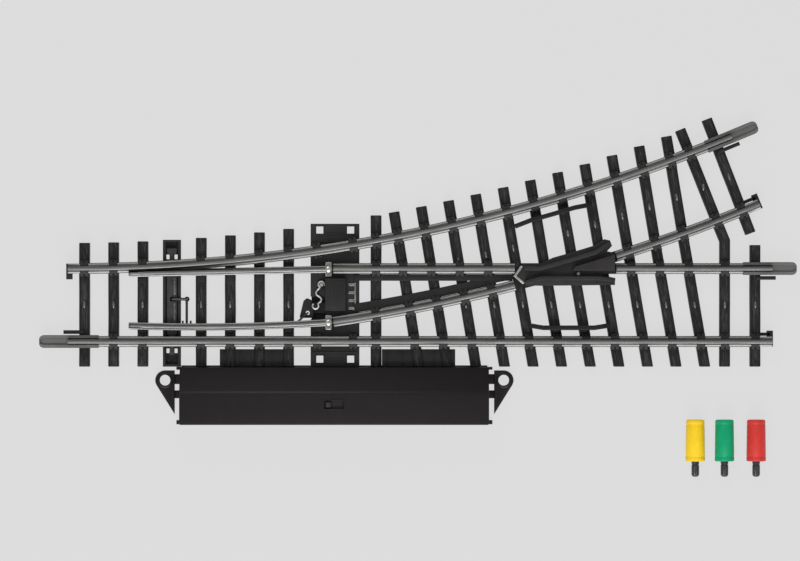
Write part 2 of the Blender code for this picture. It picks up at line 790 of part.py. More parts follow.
def make_tie_bar(straight_peg, curved_peg):
    """The bar under the rails that carries both blade pegs and the crank pin."""
    bar = box((TIE_X - TIE_WIDTH / 2, TIE_X + TIE_WIDTH / 2), (-12.0, 13.8), (1.3, 2.3))
    cuts = [cylinder((TIE_X, y), 0.62, (1.0, 2.6), 12) for y in (straight_peg, curved_peg)]
    cuts.append(box((TIE_X - 0.42, TIE_X + 0.95), (CRANK_PIVOT[1] - 0.45, CRANK_PIVOT[1] + 0.45), (1.0, 2.6)))
    cut(bar, cuts)
    finish_part(bar, "tie_bar", "black_plastic")


def make_crank():
    """The small angled lever that turns the push rod's travel across the track."""
    pivot_x, pivot_y = CRANK_PIVOT
    low, high = WIRE_LEVEL - 0.25, WIRE_LEVEL + 0.25
    crank = join([
        strip([(TIE_X, pivot_y), (pivot_x, pivot_y), (pivot_x, pivot_y - CRANK_LONG)], 0.65, (low, high)),
        cylinder(CRANK_PIVOT, 0.33, (0.4, WIRE_LEVEL), 12),
        cylinder((TIE_X, pivot_y), 0.3, (1.45, high - 0.1), 12),
    ])
    finish_part(crank, "crank", "dark_steel")
    set_origin(crank, (pivot_x, pivot_y, WIRE_LEVEL))


def make_push_rod():
    """A wire with a fork on the crank and a hook in the control slide."""
    fork_x = CRANK_PIVOT[0]
    lane = -5.1
    eye_x, eye_y = SLIDE_EYE
    rod = wire(
        [
            (fork_x + 0.5, lane, WIRE_LEVEL),
            (53.8, lane, WIRE_LEVEL),
            (eye_x, eye_y, WIRE_LEVEL),
            (eye_x, eye_y, 1.2),
        ],
        0.27,
    )
    reach = -3.1
    fork = strip(
        [(fork_x - 0.95, reach), (fork_x - 0.95, lane), (fork_x + 0.95, lane), (fork_x + 0.95, reach)],
        0.5,
        (WIRE_LEVEL - 0.25, WIRE_LEVEL + 0.25),
    )
    finish_part(join([rod, fork]), "push_rod", "dark_steel")


def make_control_slide():
    """The flat slide in the base plate, with its eye, spring pin and drive arm."""
    eye_x, eye_y = SLIDE_EYE
    bar = (0.65, 1.4)
    head_outline = [
        (eye_x - 2.0, eye_y - 1.2),
        (eye_x + 1.4, eye_y - 1.2),
        (eye_x + 1.4, eye_y + 1.6),
        (eye_x + 0.9, eye_y + 3.1),
        (eye_x - 0.2, eye_y + 3.6),
        (eye_x - 1.0, eye_y + 2.9),
    ]
    slide = join([
        box((eye_x, 64.0), (-2.0, 0.6), bar),
        box((ARM_X - 0.6, ARM_X + 0.6), (ARM_PIN_Y - 0.8, -1.5), (0.7, 1.35)),
        prism(head_outline, (0.6, 2.3)),
        box((eye_x + 0.5, SPRING_PIN[0] + 0.85), (-0.9, 0.5), (1.0, 2.25)),
        cylinder(SPRING_PIN, 0.3, (2.0, 3.3), 12),
        cylinder((ARM_X, ARM_PIN_Y), 0.5, (1.0, 3.5), 16),
    ])
    cut(slide, [cylinder(SLIDE_EYE, 0.5, (0.3, 2.6), 16)])
    finish_part(slide, "control_slide", "black_plastic")


def ring_points(centre, radius, first, last, count):
    """Points on part of a circle, angles in degrees."""
    angles = [math.radians(first + (last - first) * i / count) for i in range(count + 1)]
    return [(centre[0] + radius * math.cos(a), centre[1] + radius * math.sin(a)) for a in angles]


def make_toggle_spring():
    """An S-shaped wire between the fixed post and the pin on the slide."""
    radius = 0.2
    loop = 0.72
    post_loop = ring_points(SPRING_POST, loop, -20, 250, 8)
    pin_loop = ring_points(SPRING_PIN, loop, 45, -225, 8)
    bend = [(59.75, 3.5), (59.45, 2.9), (59.75, 2.3), (60.55, 1.9), (60.9, 1.3), (60.55, 0.7)]
    path = post_loop + bend + pin_loop
    spring = wire([(x, y, WIRE_LEVEL + 0.05) for x, y in path], radius)
    finish_part(spring, "toggle_spring", "spring_steel", smooth=True)
    set_origin(spring, (*SPRING_POST, WIRE_LEVEL))


def make_spring_post():
    """A shouldered pin that the toggle spring turns on."""
    profile = [(0.0, 3.5), (0.5, 3.4), (0.5, 3.2), (0.35, 3.2), (0.35, 1.2), (0.0, 1.2)]
    post = turned(profile, (*SPRING_POST, 0.0), (0, 0, 1), 12)
    finish_part(post, "spring_post", "spring_steel", smooth=True)


def make_mechanism_cover():
    """The block over the slide and spring, open towards the toe end."""
    low, high = SLEEPER_TOP + GAP, 4.3
    block = box((61.7, 66.6), (-1.4, 6.4), (low, high))
    hollow = box((61.0, 66.0), (-0.9, 5.9), (low - 0.5, high - 0.5))
    spring_window = box((61.0, 64.2), (-1.6, 0.0), (low - 0.6, WIRE_LEVEL + 0.55))
    cut(block, [hollow, spring_window])
    finish_part(block, "mechanism_cover", "black_plastic")


def make_bottom_plate():
    """The thin plate that keeps the control slide in its groove."""
    plate = box((PLATE_LEFT + 0.2, PLATE_RIGHT - 2.5), (-11.7, 2.4), (0.0, 0.4))
    finish_part(plate, "bottom_plate", "black_plastic")


# ---------------------------------------------------------------- drive

def drive_section(inset, low):
    """Cross-section of the drive cover as (y, z), drawn in by a wall thickness."""
    slope = math.atan2(DRIVE_TOP - SHOULDER_Z, DRIVE_NEAR - SHOULDER_Y)
    drop = inset / math.cos(slope) - inset * math.tan(slope)
    return [
        (DRIVE_NEAR - inset, low),
        (DRIVE_NEAR - inset, SHOULDER_Z - drop),
        (SHOULDER_Y - inset * math.tan(slope / 2), DRIVE_TOP - inset),
        (DRIVE_FAR + 0.9 + inset * 0.4, DRIVE_TOP - inset),
        (DRIVE_FAR + inset, DRIVE_TOP - 0.9 - inset * 0.4),
        (DRIVE_FAR + inset, low),
    ]


def drive_prism(half_length, inset, low):
    """The drive's cross-section carried along x."""
    item = prism(drive_section(inset, low), (-half_length, half_length))
    turn = Matrix(((0, 0, 1, 0), (1, 0, 0, 0), (0, 1, 0, 0), (0, 0, 0, 1)))
    item.data.transform(turn)
    item.data.transform(Matrix.Translation((DRIVE_X * MM, 0.0, 0.0)))
    return item


def screw_places():
    return [(DRIVE_X - DRIVE_HALF + 3.4, -22.2), (DRIVE_X + DRIVE_HALF - 3.4, -22.2)]


def make_drive_cover():
    """The shell over the coils, with a slot for the hand tab and two screw bosses."""
    shell = drive_prism(DRIVE_HALF, 0.0, COVER_BOTTOM)
    hollow = drive_prism(DRIVE_HALF - DRIVE_WALL, DRIVE_WALL, COVER_BOTTOM - 0.5)
    cut(shell, [hollow])
    bosses = [cylinder(place, 1.3, (COVER_BOTTOM, DRIVE_TOP - 0.5), 12) for place in screw_places()]
    shell = join([shell] + bosses)
    tab = box((ARM_X - 1.0, ARM_X + STROKE + 1.0), (-24.8, -22.8), (DRIVE_TOP - 2.0, DRIVE_TOP + 1.0))
    door = box((ARM_X - 0.9, ARM_X + STROKE + 0.9), (DRIVE_NEAR - 1.5, DRIVE_NEAR + 0.5), (1.0, 1.9))
    bores = [cylinder(place, 0.65, (COVER_BOTTOM - 0.5, 5.0), 12) for place in screw_places()]
    cut(shell, [tab, door] + bores)
    finish_part(shell, "drive_cover", "black_plastic")


def ear_outline(side):
    """One screw ear: a round eye that runs out to a point along the drive."""
    eye = (DRIVE_X + side * EAR_OFFSET, EAR_Y)
    round_part = ring_points((EAR_OFFSET, EAR_Y), 2.35, 90, -33, 8)
    outline = [(DRIVE_HALF + 1.3, EAR_Y + 2.35)] + round_part + [(DRIVE_HALF + 1.3, -26.2)]
    return eye, [(DRIVE_X + side * x, y) for x, y in outline]


def make_drive_base():
    """Floor of the drive with screw ears, coil saddles, corner feet and track hooks."""
    left, right = DRIVE_X - DRIVE_HALF, DRIVE_X + DRIVE_HALF
    floor = (0.0, BASE_TOP)
    pieces = [box((left, right), (DRIVE_FAR, DRIVE_NEAR), floor)]
    cuts = []
    for side in (-1, 1):
        eye, outline = ear_outline(side)
        pieces.append(prism(outline, (0.0, 2.2)))
        edge = DRIVE_X + side * DRIVE_HALF
        outer = edge + side * 1.6
        ends = (min(edge - side, outer), max(edge - side, outer))
        pieces.append(box(ends, (-19.0, -16.6), (0.1, 1.1)))
        pieces.append(box(ends, (-22.4, -20.5), (0.1, 1.1)))
        corner = (min(edge - side, edge + side * 0.9), max(edge - side, edge + side * 0.9))
        pieces.append(box(corner, (DRIVE_FAR, DRIVE_FAR + 1.0), (0.0, 1.1)))
        pieces.append(box(corner, (DRIVE_NEAR - 0.7, DRIVE_NEAR), (0.0, 1.1)))
        cuts.append(cylinder(eye, EAR_HOLE, (-0.5, 3.0), 20))
        for end in (-1, 1):
            x = DRIVE_X + side * COIL_OFFSET + end * (COIL_LENGTH / 2 - 0.5)
            pieces.append(box((x - 0.5, x + 0.5), (-25.0, -22.2), (1.0, 1.85)))
    for x in (42.4, 49.4, 80.0, 87.6):
        pieces.append(box((x - 1.2, x + 1.2), (DRIVE_NEAR - 0.5, -11.4), (0.0, 0.5)))
    base = join(pieces)
    cuts.append(
        box((ARM_X - 0.9, ARM_X + STROKE + 0.9), (ARM_PIN_Y - 1.1, DRIVE_NEAR + 0.5), (0.45, BASE_TOP + 0.2))
    )
    for place in screw_places():
        cuts.append(cylinder(place, 0.65, (-0.5, 2.0), 12))
        cuts.append(cylinder(place, 1.25, (-0.5, 0.65), 12))
    cut(base, cuts)
    finish_part(base, "drive_base", "black_plastic")


def make_cover_screws():
    """Two screws that hold the cover from below."""
    for name, place in zip(("left_cover_screw", "right_cover_screw"), screw_places()):
        profile = [(0.0, 4.6), (0.5, 4.4), (0.5, 0.55), (1.05, 0.55), (1.05, 0.15), (0.0, 0.15)]
        finish_part(turned(profile, (*place, 0.0), (0, 0, 1), 12), name, "dark_steel", smooth=True)


def make_coils():
    """Two bobbins on the plunger's axis, each with its copper winding."""
    y, z = COIL_AXIS
    half = COIL_LENGTH / 2
    for side, label in ((-1, "left"), (1, "right")):
        centre = (DRIVE_X + side * COIL_OFFSET, y, z)
        spool = [
            (1.5, half), (2.9, half), (2.9, half - 0.8), (1.9, half - 0.8),
            (1.9, 0.8 - half), (2.9, 0.8 - half), (2.9, -half), (1.5, -half), (1.5, half),
        ]
        bobbin = turned(spool, centre, (1, 0, 0), 24)
        finish_part(bobbin, label + "_coil_bobbin", "grey_plastic", smooth=True)
        reach = half - 1.0
        tube = [(2.1, reach), (2.7, reach), (2.7, -reach), (2.1, -reach), (2.1, reach)]
        winding = turned(tube, centre, (1, 0, 0), 24)
        finish_part(winding, label + "_coil_winding", "copper", smooth=True)


def make_plunger():
    """The steel rod that the coils pull to and fro."""
    y, z = COIL_AXIS
    rod = lying_cylinder((ARM_X - 25.0, ARM_X + 25.0), y, z, PLUNGER_RADIUS, 20)
    finish_part(rod, "plunger", "dark_steel", smooth=True)
    set_origin(rod, (ARM_X, y, z))


def make_drive_slide():
    """The carrier on the plunger, with the hand tab and the eye for the slide's pin."""
    y, z = COIL_AXIS
    block = join([
        box((ARM_X - 3.2, ARM_X + 3.2), (y - 2.3, y + 2.3), (z - 1.9, z + 2.2)),
        box((ARM_X - 1.4, ARM_X + 1.4), (y + 1.5, ARM_PIN_Y + 1.3), (z - 2.9, z - 1.4)),
        box((ARM_X - 1.3, ARM_X + 1.3), (y + 1.6, y + 2.25), (z - 2.6, z - 1.0)),
        box((ARM_X - 0.6, ARM_X + 0.6), (-24.4, -23.2), (z + 1.5, DRIVE_TOP + 0.3)),
    ])
    bore = lying_cylinder((ARM_X - 4.0, ARM_X + 4.0), y, z, PLUNGER_RADIUS + 0.1, 20)
    eye = cylinder((ARM_X, ARM_PIN_Y), 0.7, (z - 3.5, z), 16)
    cut(block, [bore, eye])
    finish_part(block, "drive_slide", "grey_plastic")
    set_origin(block, (ARM_X, y, z))


def make_end_contacts():
    """Leaf contacts that open when the plunger reaches either end."""
    y = COIL_AXIS[0]
    for side, label in ((-1, "left"), (1, "right")):
        x = DRIVE_X + side * 30.6
        inward = x - side * 2.2
        foot = box((min(x, inward), max(x, inward)), (y - 1.2, y + 1.2), (BASE_TOP + GAP, 1.75))
        leaf = box((x - 0.15, x + 0.15), (y - 1.2, y + 1.2), (BASE_TOP + GAP, 7.0))
        finish_part(join([leaf, foot]), label + "_end_contact", "brass")


def make_terminal_tabs():
    """Three solder tabs behind the coils, one for each lead."""
    for i, label in enumerate(("common", "left", "right")):
        x = DRIVE_X - 7.0 + 5.0 * i
        y = -26.9
        foot = box((x - 0.9, x + 0.9), (y, y + 0.55), (BASE_TOP + GAP, 2.4))
        blade = box((x - 0.5, x + 0.5), (y + 0.1, y + 0.45), (BASE_TOP + 0.6, 6.2))
        finish_part(join([blade, foot]), label + "_terminal_tab", "brass")


# ---------------------------------------------------------------- plugs

def make_plugs():
    """Coloured sleeves with a socket for the lead, each on its contact pin."""
    for colour, x in PLUG_CENTRES.items():
        half = SLEEVE_LENGTH / 2
        centre = (x, PLUG_REAR_Y - half, SLEEVE_RADIUS)
        rear, front = SLEEVE_RADIUS - 0.1, SLEEVE_RADIUS
        profile = [
            (0.0, half - 5.0), (0.85, half - 5.0), (0.85, half - 0.3), (1.1, half), (rear - 0.3, half),
            (rear, half - 0.3), (front, 0.3 - half), (front - 0.3, -half), (PIN_RADIUS + 0.15, -half),
            (PIN_RADIUS + 0.15, 3.2 - half), (0.0, 3.2 - half),
        ]
        sleeve = turned(profile, centre, (0, 1, 0), 28)
        finish_part(sleeve, colour + "_plug_sleeve", "plug_" + colour, smooth=True)
        tip = -half - PIN_LENGTH
        shank = [
            (0.0, 3.0 - half), (PIN_RADIUS, 3.0 - half), (PIN_RADIUS, tip + 0.4),
            (PIN_RADIUS - 0.4, tip), (0.0, tip),
        ]
        pin = turned(shank, centre, (0, 1, 0), 16)
        finish_part(pin, colour + "_plug_pin", "dark_steel", smooth=True)


# ---------------------------------------------------------------- assembly

def centre_model():
    """Move the track empty so that the box's bottom centre is the world origin."""
    graph = bpy.context.evaluated_depsgraph_get()
    graph.update()
    corners = [item.matrix_world @ Vector(c) for item in PARTS.objects for c in item.bound_box]
    low = [min(c[axis] for c in corners) for axis in range(3)]
    high = [max(c[axis] for c in corners) for axis in range(3)]
    TRACK.location = (-(low[0] + high[0]) / 2, -(low[1] + high[1]) / 2, -low[2])


def main():
    make_sleeper_frame()
    make_fixed_rails()
    make_rail_joiners()
    straight_peg, curved_peg = make_blades()
    make_heel_pins()
    make_frog()
    make_guard_rails()
    make_tie_bar(straight_peg, curved_peg)
    make_crank()
    make_push_rod()
    make_control_slide()
    make_toggle_spring()
    make_spring_post()
    make_mechanism_cover()
    make_bottom_plate()
    make_drive_cover()
    make_drive_base()
    make_cover_screws()
    make_coils()
    make_plunger()
    make_drive_slide()
    make_end_contacts()
    make_terminal_tabs()
    make_plugs()
    centre_model()


clear_scene()
PARTS = make_collection("model_turnout_switch")
CUTTERS = make_collection("cutters")
TRACK = bpy.data.objects.new("track_frame", None)
bpy.context.scene.collection.objects.link(TRACK)
main()
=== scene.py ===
"""The looks of the H0 turnout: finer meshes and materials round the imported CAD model.

Shapes are built in millimetres in the track frame of the CAD source: x along the straight
route from the toe end, y = 0 on its centre line, z = 0 where the sleepers stand. TO_WORLD turns
them into world metres. Sizes that the CAD source also uses have the same names here;
ARC_STEP and PLANE_DEPTH have finer values.
"""

import math
import random

import bmesh
import bpy
from mathutils import Matrix, Vector


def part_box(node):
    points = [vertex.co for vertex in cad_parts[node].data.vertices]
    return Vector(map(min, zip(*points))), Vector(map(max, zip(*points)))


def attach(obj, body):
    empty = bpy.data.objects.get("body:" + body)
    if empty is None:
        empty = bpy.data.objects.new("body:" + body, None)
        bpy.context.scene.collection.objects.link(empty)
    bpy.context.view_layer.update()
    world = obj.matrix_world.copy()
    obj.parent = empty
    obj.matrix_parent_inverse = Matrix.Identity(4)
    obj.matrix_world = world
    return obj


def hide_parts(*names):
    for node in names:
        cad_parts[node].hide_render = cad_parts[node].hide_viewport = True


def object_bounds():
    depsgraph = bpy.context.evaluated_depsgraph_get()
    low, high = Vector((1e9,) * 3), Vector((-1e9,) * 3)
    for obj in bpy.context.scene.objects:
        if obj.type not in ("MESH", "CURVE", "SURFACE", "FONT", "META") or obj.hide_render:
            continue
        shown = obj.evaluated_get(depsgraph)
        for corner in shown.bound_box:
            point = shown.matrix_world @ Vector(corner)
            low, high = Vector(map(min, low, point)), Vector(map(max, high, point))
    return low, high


MM = 0.001
WELD = 1e-4
SMOOTH_ANGLE = math.radians(38)

# Track plan
STRAIGHT_LENGTH = 168.9
BRANCH_RADIUS = 424.6
BRANCH_ANGLE = math.radians(22.5)
HALF_GAUGE = 8.75
OUTER_RADIUS = BRANCH_RADIUS + HALF_GAUGE
INNER_RADIUS = BRANCH_RADIUS - HALF_GAUGE
ARC_STEP = 2.5

# Heights
SLEEPER_TOP = 2.4
RAIL_BASE = 2.75
RAIL_HEIGHT = 2.45
RAIL_TOP = RAIL_BASE + RAIL_HEIGHT
BLADE_BASE = 3.3
BLADE_TOP = RAIL_TOP - 0.1
WIRE_LEVEL = 2.85
WEB_BOTTOM = 0.7
WEB_TOP = 2.2

# Rail section: half widths of foot, web and head
FOOT_HALF = 1.2
WEB_HALF = 0.35
HEAD_HALF = 0.55
BLADE_FOOT_HALF = 0.85
BLADE_HEAD_HALF = 0.45

# Sleepers
SLEEPER_WIDTH = 2.65
SLEEPER_PITCH = 7.0
FIRST_SLEEPER = 3.9
LAST_SLEEPER = FIRST_SLEEPER + 23 * SLEEPER_PITCH
SLEEPER_END = -14.8
TRIM = 0.3
SLEEPER_OVERHANG = 6.15
SEED_SHIFT = 37.0
UPRIGHT_SLEEPERS = (0, 1, 2, 4, 5, 6, 7, 10)
FAN_COUNT = 11
FAN_TOP_START = 78.2
FAN_TOP_PITCH = 6.54
FAN_FOOT_START = 84.2
FAN_FOOT_PITCH = 6.87

# Blades and linkage
HEEL_X = 62.5
STRAIGHT_HEEL_Y = 8.55
CURVED_HEEL_Y = -4.2
TIP_X = 14.6
STRAIGHT_TIP_Y = 7.56
CURVED_TIP_Y = -4.97
BLADE_BULGE = 0.6
PLANE_ANGLE = math.radians(1.8)
PLANE_DEPTH = 0.2
STROKE = 2.8
TIE_X = FIRST_SLEEPER + 3 * SLEEPER_PITCH
WIDE_SLEEPER = 4.3
TIE_HALF = 1.2
CRANK_PIVOT = (28.5, 1.4)
CRANK_LONG = 5.5
SLIDE_EYE = (57.5, -1.9)
SPRING_POST = (60.8, 4.9)
SPRING_PIN = (59.4, -0.2)
ARM_X = 62.5
ARM_PIN_Y = -19.2

# Base plate of the mechanism
PLATE_LEFT, PLATE_RIGHT = 58.2, 69.9
PLATE_LOW, PLATE_HIGH = -14.8, 19.5
SKIN_BOTTOM = 1.6

# Drive
DRIVE_X = ARM_X + STROKE / 2
DRIVE_HALF = 37.05
DRIVE_NEAR, DRIVE_FAR = -14.85, -28.65
DRIVE_TOP = 9.2
SHOULDER_Y, SHOULDER_Z = -20.9, 4.6
DRIVE_WALL = 0.9
BASE_TOP = 1.2
COVER_BOTTOM = 1.4
EAR_OFFSET = 40.65
EAR_Y = -18.05
EAR_HOLE = 1.3
COIL_OFFSET = 20.0
COIL_HALF = 7.5
COIL_Y, COIL_Z = -23.6, 4.9
PLUNGER_RADIUS = 1.25
TAB_SLOT = [
    (ARM_X - 1.0, -24.8), (ARM_X + STROKE + 1.0, -24.8),
    (ARM_X + STROKE + 1.0, -22.8), (ARM_X - 1.0, -22.8),
]
SCREW_PLACES = ((DRIVE_X - DRIVE_HALF + 3.4, -22.2), (DRIVE_X + DRIVE_HALF - 3.4, -22.2))

# Frog and guard rails
FROG_START, FROG_END = 107.5, 131.2
FLANGEWAY = 1.3
WING_HALF = 0.5
GUARD_OFFSET = 3.4

# Plugs
PLUG_CENTRES = {"yellow": 150.5, "green": 157.5, "red": 165.1}
PLUG_REAR_Y = -27.5
SLEEVE_LENGTH = 10.0
SLEEVE_RADIUS = 2.35
PIN_RADIUS = 0.92
PIN_LENGTH = 3.7

PLASTIC_SHINE = 0.3

# Stage, in metres
FLOOR_REACH = 2.5
FLOOR_DROP = 0.00002
FRAME_WIDTH = 191.94 * MM
LENS, SENSOR = 300.0, 36.0

# Across a piece, from its left to its right: painted shade beside the rail web, painted highlights on the
# rail foot edges, painted shade along the sleeper edges
WEB_SHADE = (
    (0.0, 0.0), (0.12, 0.0), (0.17, 0.85), (0.29, 0.85), (0.40, 0.6), (0.47, 0.05),
    (0.66, 0.0), (0.74, 0.85), (0.83, 0.85), (0.88, 0.0), (1.0, 0.0),
)
FOOT_EDGE_HIGHLIGHTS = ((0.0, 1.0), (0.10, 0.9), (0.15, 0.0), (0.85, 0.0), (0.90, 0.9), (1.0, 1.0))
SLEEPER_EDGE_SHADE = (
    (0.0, 1.0), (0.10, 0.95), (0.24, 0.3), (0.45, 0.0),
    (0.55, 0.0), (0.76, 0.3), (0.90, 0.95), (1.0, 1.0),
)


# ---------------------------------------------------------------- shape helpers

def add_loft(shape, rings, marks=None, caps=True):
    """Skin a row of closed rings. marks gives each point's (across, along, up) for the grain."""
    layer = shape.verts.layers.float_vector.get("grain") or shape.verts.layers.float_vector.new("grain")
    made = []
    for i, ring in enumerate(rings):
        row = []
        for j, point in enumerate(ring):
            vert = shape.verts.new(point)
            vert[layer] = Vector(marks[i][j] if marks else point)
            row.append(vert)
        made.append(row)
    count = len(rings[0])
    for first, second in zip(made, made[1:]):
        for j in range(count):
            k = (j + 1) % count
            shape.faces.new((first[j], first[k], second[k], second[j]))
    if caps:
        shape.faces.new(made[0][::-1])
        shape.faces.new(made[-1])
    return made


def resample(path, step):
    """Points along a plan path no further apart than step, with the path's own corners kept."""
    points = [Vector(path[0])]
    for start, end in zip(path, path[1:]):
        start, end = Vector(start), Vector(end)
        count = max(1, math.ceil((end - start).length / step))
        points += [start.lerp(end, i / count) for i in range(1, count + 1)]
    return points


def stations(points):
    """Each point of a plan path with its sideways direction, its mitre and its distance."""
    rows = []
    distance = 0.0
    for i, point in enumerate(points):
        before = (point - points[i - 1]).normalized() if i else None
        after = (points[i + 1] - point).normalized() if i + 1 < len(points) else None
        if i:
            distance += (point - points[i - 1]).length
        along = ((before or after) + (after or before)).normalized()
        mitre = 1.0 / max(0.4, along.dot(after or before))
        rows.append((point, left_of(along) * mitre, along, distance))
    return rows


def add_sweep(shape, path, section, base=0.0, step=4.0, chamfer=0.06, shape_at=None):
    """Carry a closed (side, height) section along a plan path. shape_at may change it by distance."""
    rows = stations(resample(path, step))
    length = rows[-1][3]
    centre_up = sum(up for _, up in section) / len(section)
    first, last = rows[0], rows[-1]
    inner = [(p + along * chamfer, side, along, d + chamfer) for p, side, along, d in (first,)]
    inner += [row for row in rows[1:-1] if chamfer * 2 < row[3] < length - chamfer * 2]
    inner += [(p - along * chamfer, side, along, d - chamfer) for p, side, along, d in (last,)]
    rings, marks = [], []
    for row, shrink in [(first, 0.9)] + [(row, 1.0) for row in inner] + [(last, 0.9)]:
        point, side, _, distance = row
        outline = shape_at(section, distance, length) if shape_at else section
        ring, mark = [], []
        for across, up in outline:
            tight = across * shrink
            height = centre_up + (up - centre_up) * (1.0 - (1.0 - shrink) * 0.5)
            spot = point - side * tight
            ring.append((spot.x, spot.y, base + height))
            mark.append((across, distance, up))
        rings.append(ring)
        marks.append(mark)
    add_loft(shape, rings, marks)


def add_plate(shape, outlines, z_range, bevel=0.08, steps=2):
    """A flat piece with rounded edges from an outer outline and any holes."""
    curve = bpy.data.curves.new("plate", "CURVE")
    curve.dimensions = "2D"
    curve.fill_mode = "BOTH"
    curve.extrude = (z_range[1] - z_range[0]) / 2 - bevel
    curve.bevel_depth = bevel
    curve.bevel_resolution = steps
    curve.offset = -bevel
    for outline in outlines:
        spline = curve.splines.new("POLY")
        spline.points.add(len(outline) - 1)
        for point, (x, y) in zip(spline.points, outline):
            point.co = (x, y, 0.0, 1.0)
        spline.use_cyclic_u = True
    add_curve(shape, curve, (0.0, 0.0, (z_range[0] + z_range[1]) / 2))


def add_block(shape, x_range, y_range, z_range, bevel):
    """A plate with a rectangular outline."""
    add_plate(shape, [rectangle(x_range, y_range)], z_range, bevel)


def add_curve(shape, curve, shift=(0.0, 0.0, 0.0)):
    """Turn a curve into mesh, weld it and add it to the shape."""
    guide = add_object("guide", curve)
    graph = bpy.context.evaluated_depsgraph_get()
    graph.update()
    mesh = bpy.data.meshes.new_from_object(guide.evaluated_get(graph))
    mesh.transform(Matrix.Translation(shift))
    mesh.materials.clear()
    part = bmesh.new()
    part.from_mesh(mesh)
    bmesh.ops.remove_doubles(part, verts=part.verts, dist=WELD)
    bmesh.ops.recalc_face_normals(part, faces=part.faces)
    part.to_mesh(mesh)
    part.free()
    shape.from_mesh(mesh)
    bpy.data.objects.remove(guide, do_unlink=True)
    bpy.data.meshes.remove(mesh)


def add_wire(shape, path, radius, sides=3):
    """A round wire with closed ends through (x, y, z) points."""
    curve = bpy.data.curves.new("wire", "CURVE")
    curve.dimensions = "3D"
    spline = curve.splines.new("POLY")
    spline.points.add(len(path) - 1)
    for point, at in zip(spline.points, path):
        point.co = (*at, 1.0)
    curve.bevel_depth = radius
    curve.bevel_resolution = sides
    curve.use_fill_caps = True
    add_curve(shape, curve)


def add_lathe(shape, profile, centre, axis=(0, 0, 1), segments=32):
    """Turn (radius, height) points about an axis. A radius of 0 closes an end."""
    turn = Vector((0.0, 0.0, 1.0)).rotation_difference(Vector(axis)).to_matrix()
    rows = []
    for radius, height in profile:
        count = 1 if radius < 1e-6 else segments
        row = []
        for i in range(count):
            angle = 2 * math.pi * i / segments
            local = Vector((radius * math.cos(angle), radius * math.sin(angle), height))
            row.append(shape.verts.new(turn @ local + Vector(centre)))
        rows.append(row)
    for first, second in zip(rows, rows[1:]):
        for i in range(segments):
            k = (i + 1) % segments
            corners = [row[j % len(row)] for row, j in ((first, i), (first, k), (second, k), (second, i))]
            face = list(dict.fromkeys(corners))
            if len(face) > 2:
                shape.faces.new(face)


def heading(angle):
    """The direction in plan at an angle from +x."""
    return Vector((math.cos(angle), math.sin(angle)))


def left_of(along):
    """A direction turned a quarter to its left."""
    return Vector((-along.y, along.x))


def mirrored(right):
    """A whole outline from the points of its right half."""
    return right + [(-side, up) for side, up in reversed(right)]


def bend_point(start, here, end, t):
    """A point on the soft bend that replaces the corner at here."""
    return tuple(start * (1 - t) ** 2 + here * (2 * t * (1 - t)) + end * t ** 2)


def around(x, y, half_x, half_y):
    """A rectangle by its centre and its half sizes."""
    return rectangle((x - half_x, x + half_x), (y - half_y, y + half_y))


def rectangle(x_range, y_range):
    (left, right), (low, high) = x_range, y_range
    return [(left, low), (right, low), (right, high), (left, high)]


def turned_rectangle(centre, angle, length, width):
    along = heading(angle)
    side = left_of(along)
    middle = Vector(centre)
    corners = []
    for a, b in ((-1, -1), (1, -1), (1, 1), (-1, 1)):
        corners.append(tuple(middle + along * (a * length / 2) + side * (b * width / 2)))
    return corners


def circle(centre, radius, count=20):
    return ring_points(centre, radius, 0, 360 - 360 / count, count - 1)


def ring_points(centre, radius, first, last, count):
    """Points on part of a circle, angles in degrees."""
    angles = [math.radians(first + (last - first) * i / count) for i in range(count + 1)]
    return [(centre[0] + radius * math.cos(a), centre[1] + radius * math.sin(a)) for a in angles]


def rounded_section(half, low, high, radius):
    """A rectangle with rounded upper corners, as (side, height) points."""
    top = ring_points((half - radius, high - radius), radius, 0, 90, 4)
    right = [(half - 0.03, low), (half, low + 0.05)] + top
    return mirrored(right)


def inset_outline(outline, amount):
    """Move every side of an outline inwards; the points run anticlockwise."""
    moved = []
    count = len(outline)
    for i in range(count):
        before, here, after = (Vector(outline[(i + k) % count]) for k in (-1, 0, 1))
        first, second = (here - before).normalized(), (after - here).normalized()
        normal = Vector((-first.y - second.y, first.x + second.x)).normalized()
        reach = amount / max(0.3, normal.dot(Vector((-second.y, second.x))))
        moved.append(tuple(here + normal * reach))
    return moved


def fillet_outline(outline, radii, steps=4):
    """Round the corners of an outline, each with its own radius."""
    rounded = []
    count = len(outline)
    for i, radius in enumerate(radii):
        before, here, after = (Vector(outline[(i + k) % count]) for k in (-1, 0, 1))
        if radius <= 0:
            rounded.append(tuple(here))
            continue
        first, second = (before - here).normalized(), (after - here).normalized()
        reach = radius / math.tan(first.angle(second) / 2)
        start, end = here + first * reach, here + second * reach
        for k in range(steps + 1):
            t = k / steps
            rounded.append(bend_point(start, here, end, t))
    return rounded


def add_object(name, data):
    """A new object in the scene."""
    item = bpy.data.objects.new(name, data)
    bpy.context.scene.collection.objects.link(item)
    return item


def placed_mesh(name, shape):
    """A mesh in world metres from a shape in the track frame, which is used up."""
    bmesh.ops.recalc_face_normals(shape, faces=shape.faces)
    mesh = bpy.data.meshes.new(name)
    shape.to_mesh(mesh)
    shape.free()
    mesh.transform(TO_WORLD)
    return mesh


def piece(name, shape, look, replaces=(), body="track"):
    """Make the finished object: place it, shade it, and let it ride on its CAD body."""
    mesh = placed_mesh(name, shape)
    item = add_object(name, mesh)
    mesh.materials.append(LOOKS[look])
    mesh.shade_smooth()
    mesh.set_sharp_from_angle(angle=SMOOTH_ANGLE)
    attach(item, body)
    if replaces:
        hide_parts(*replaces)
    return item


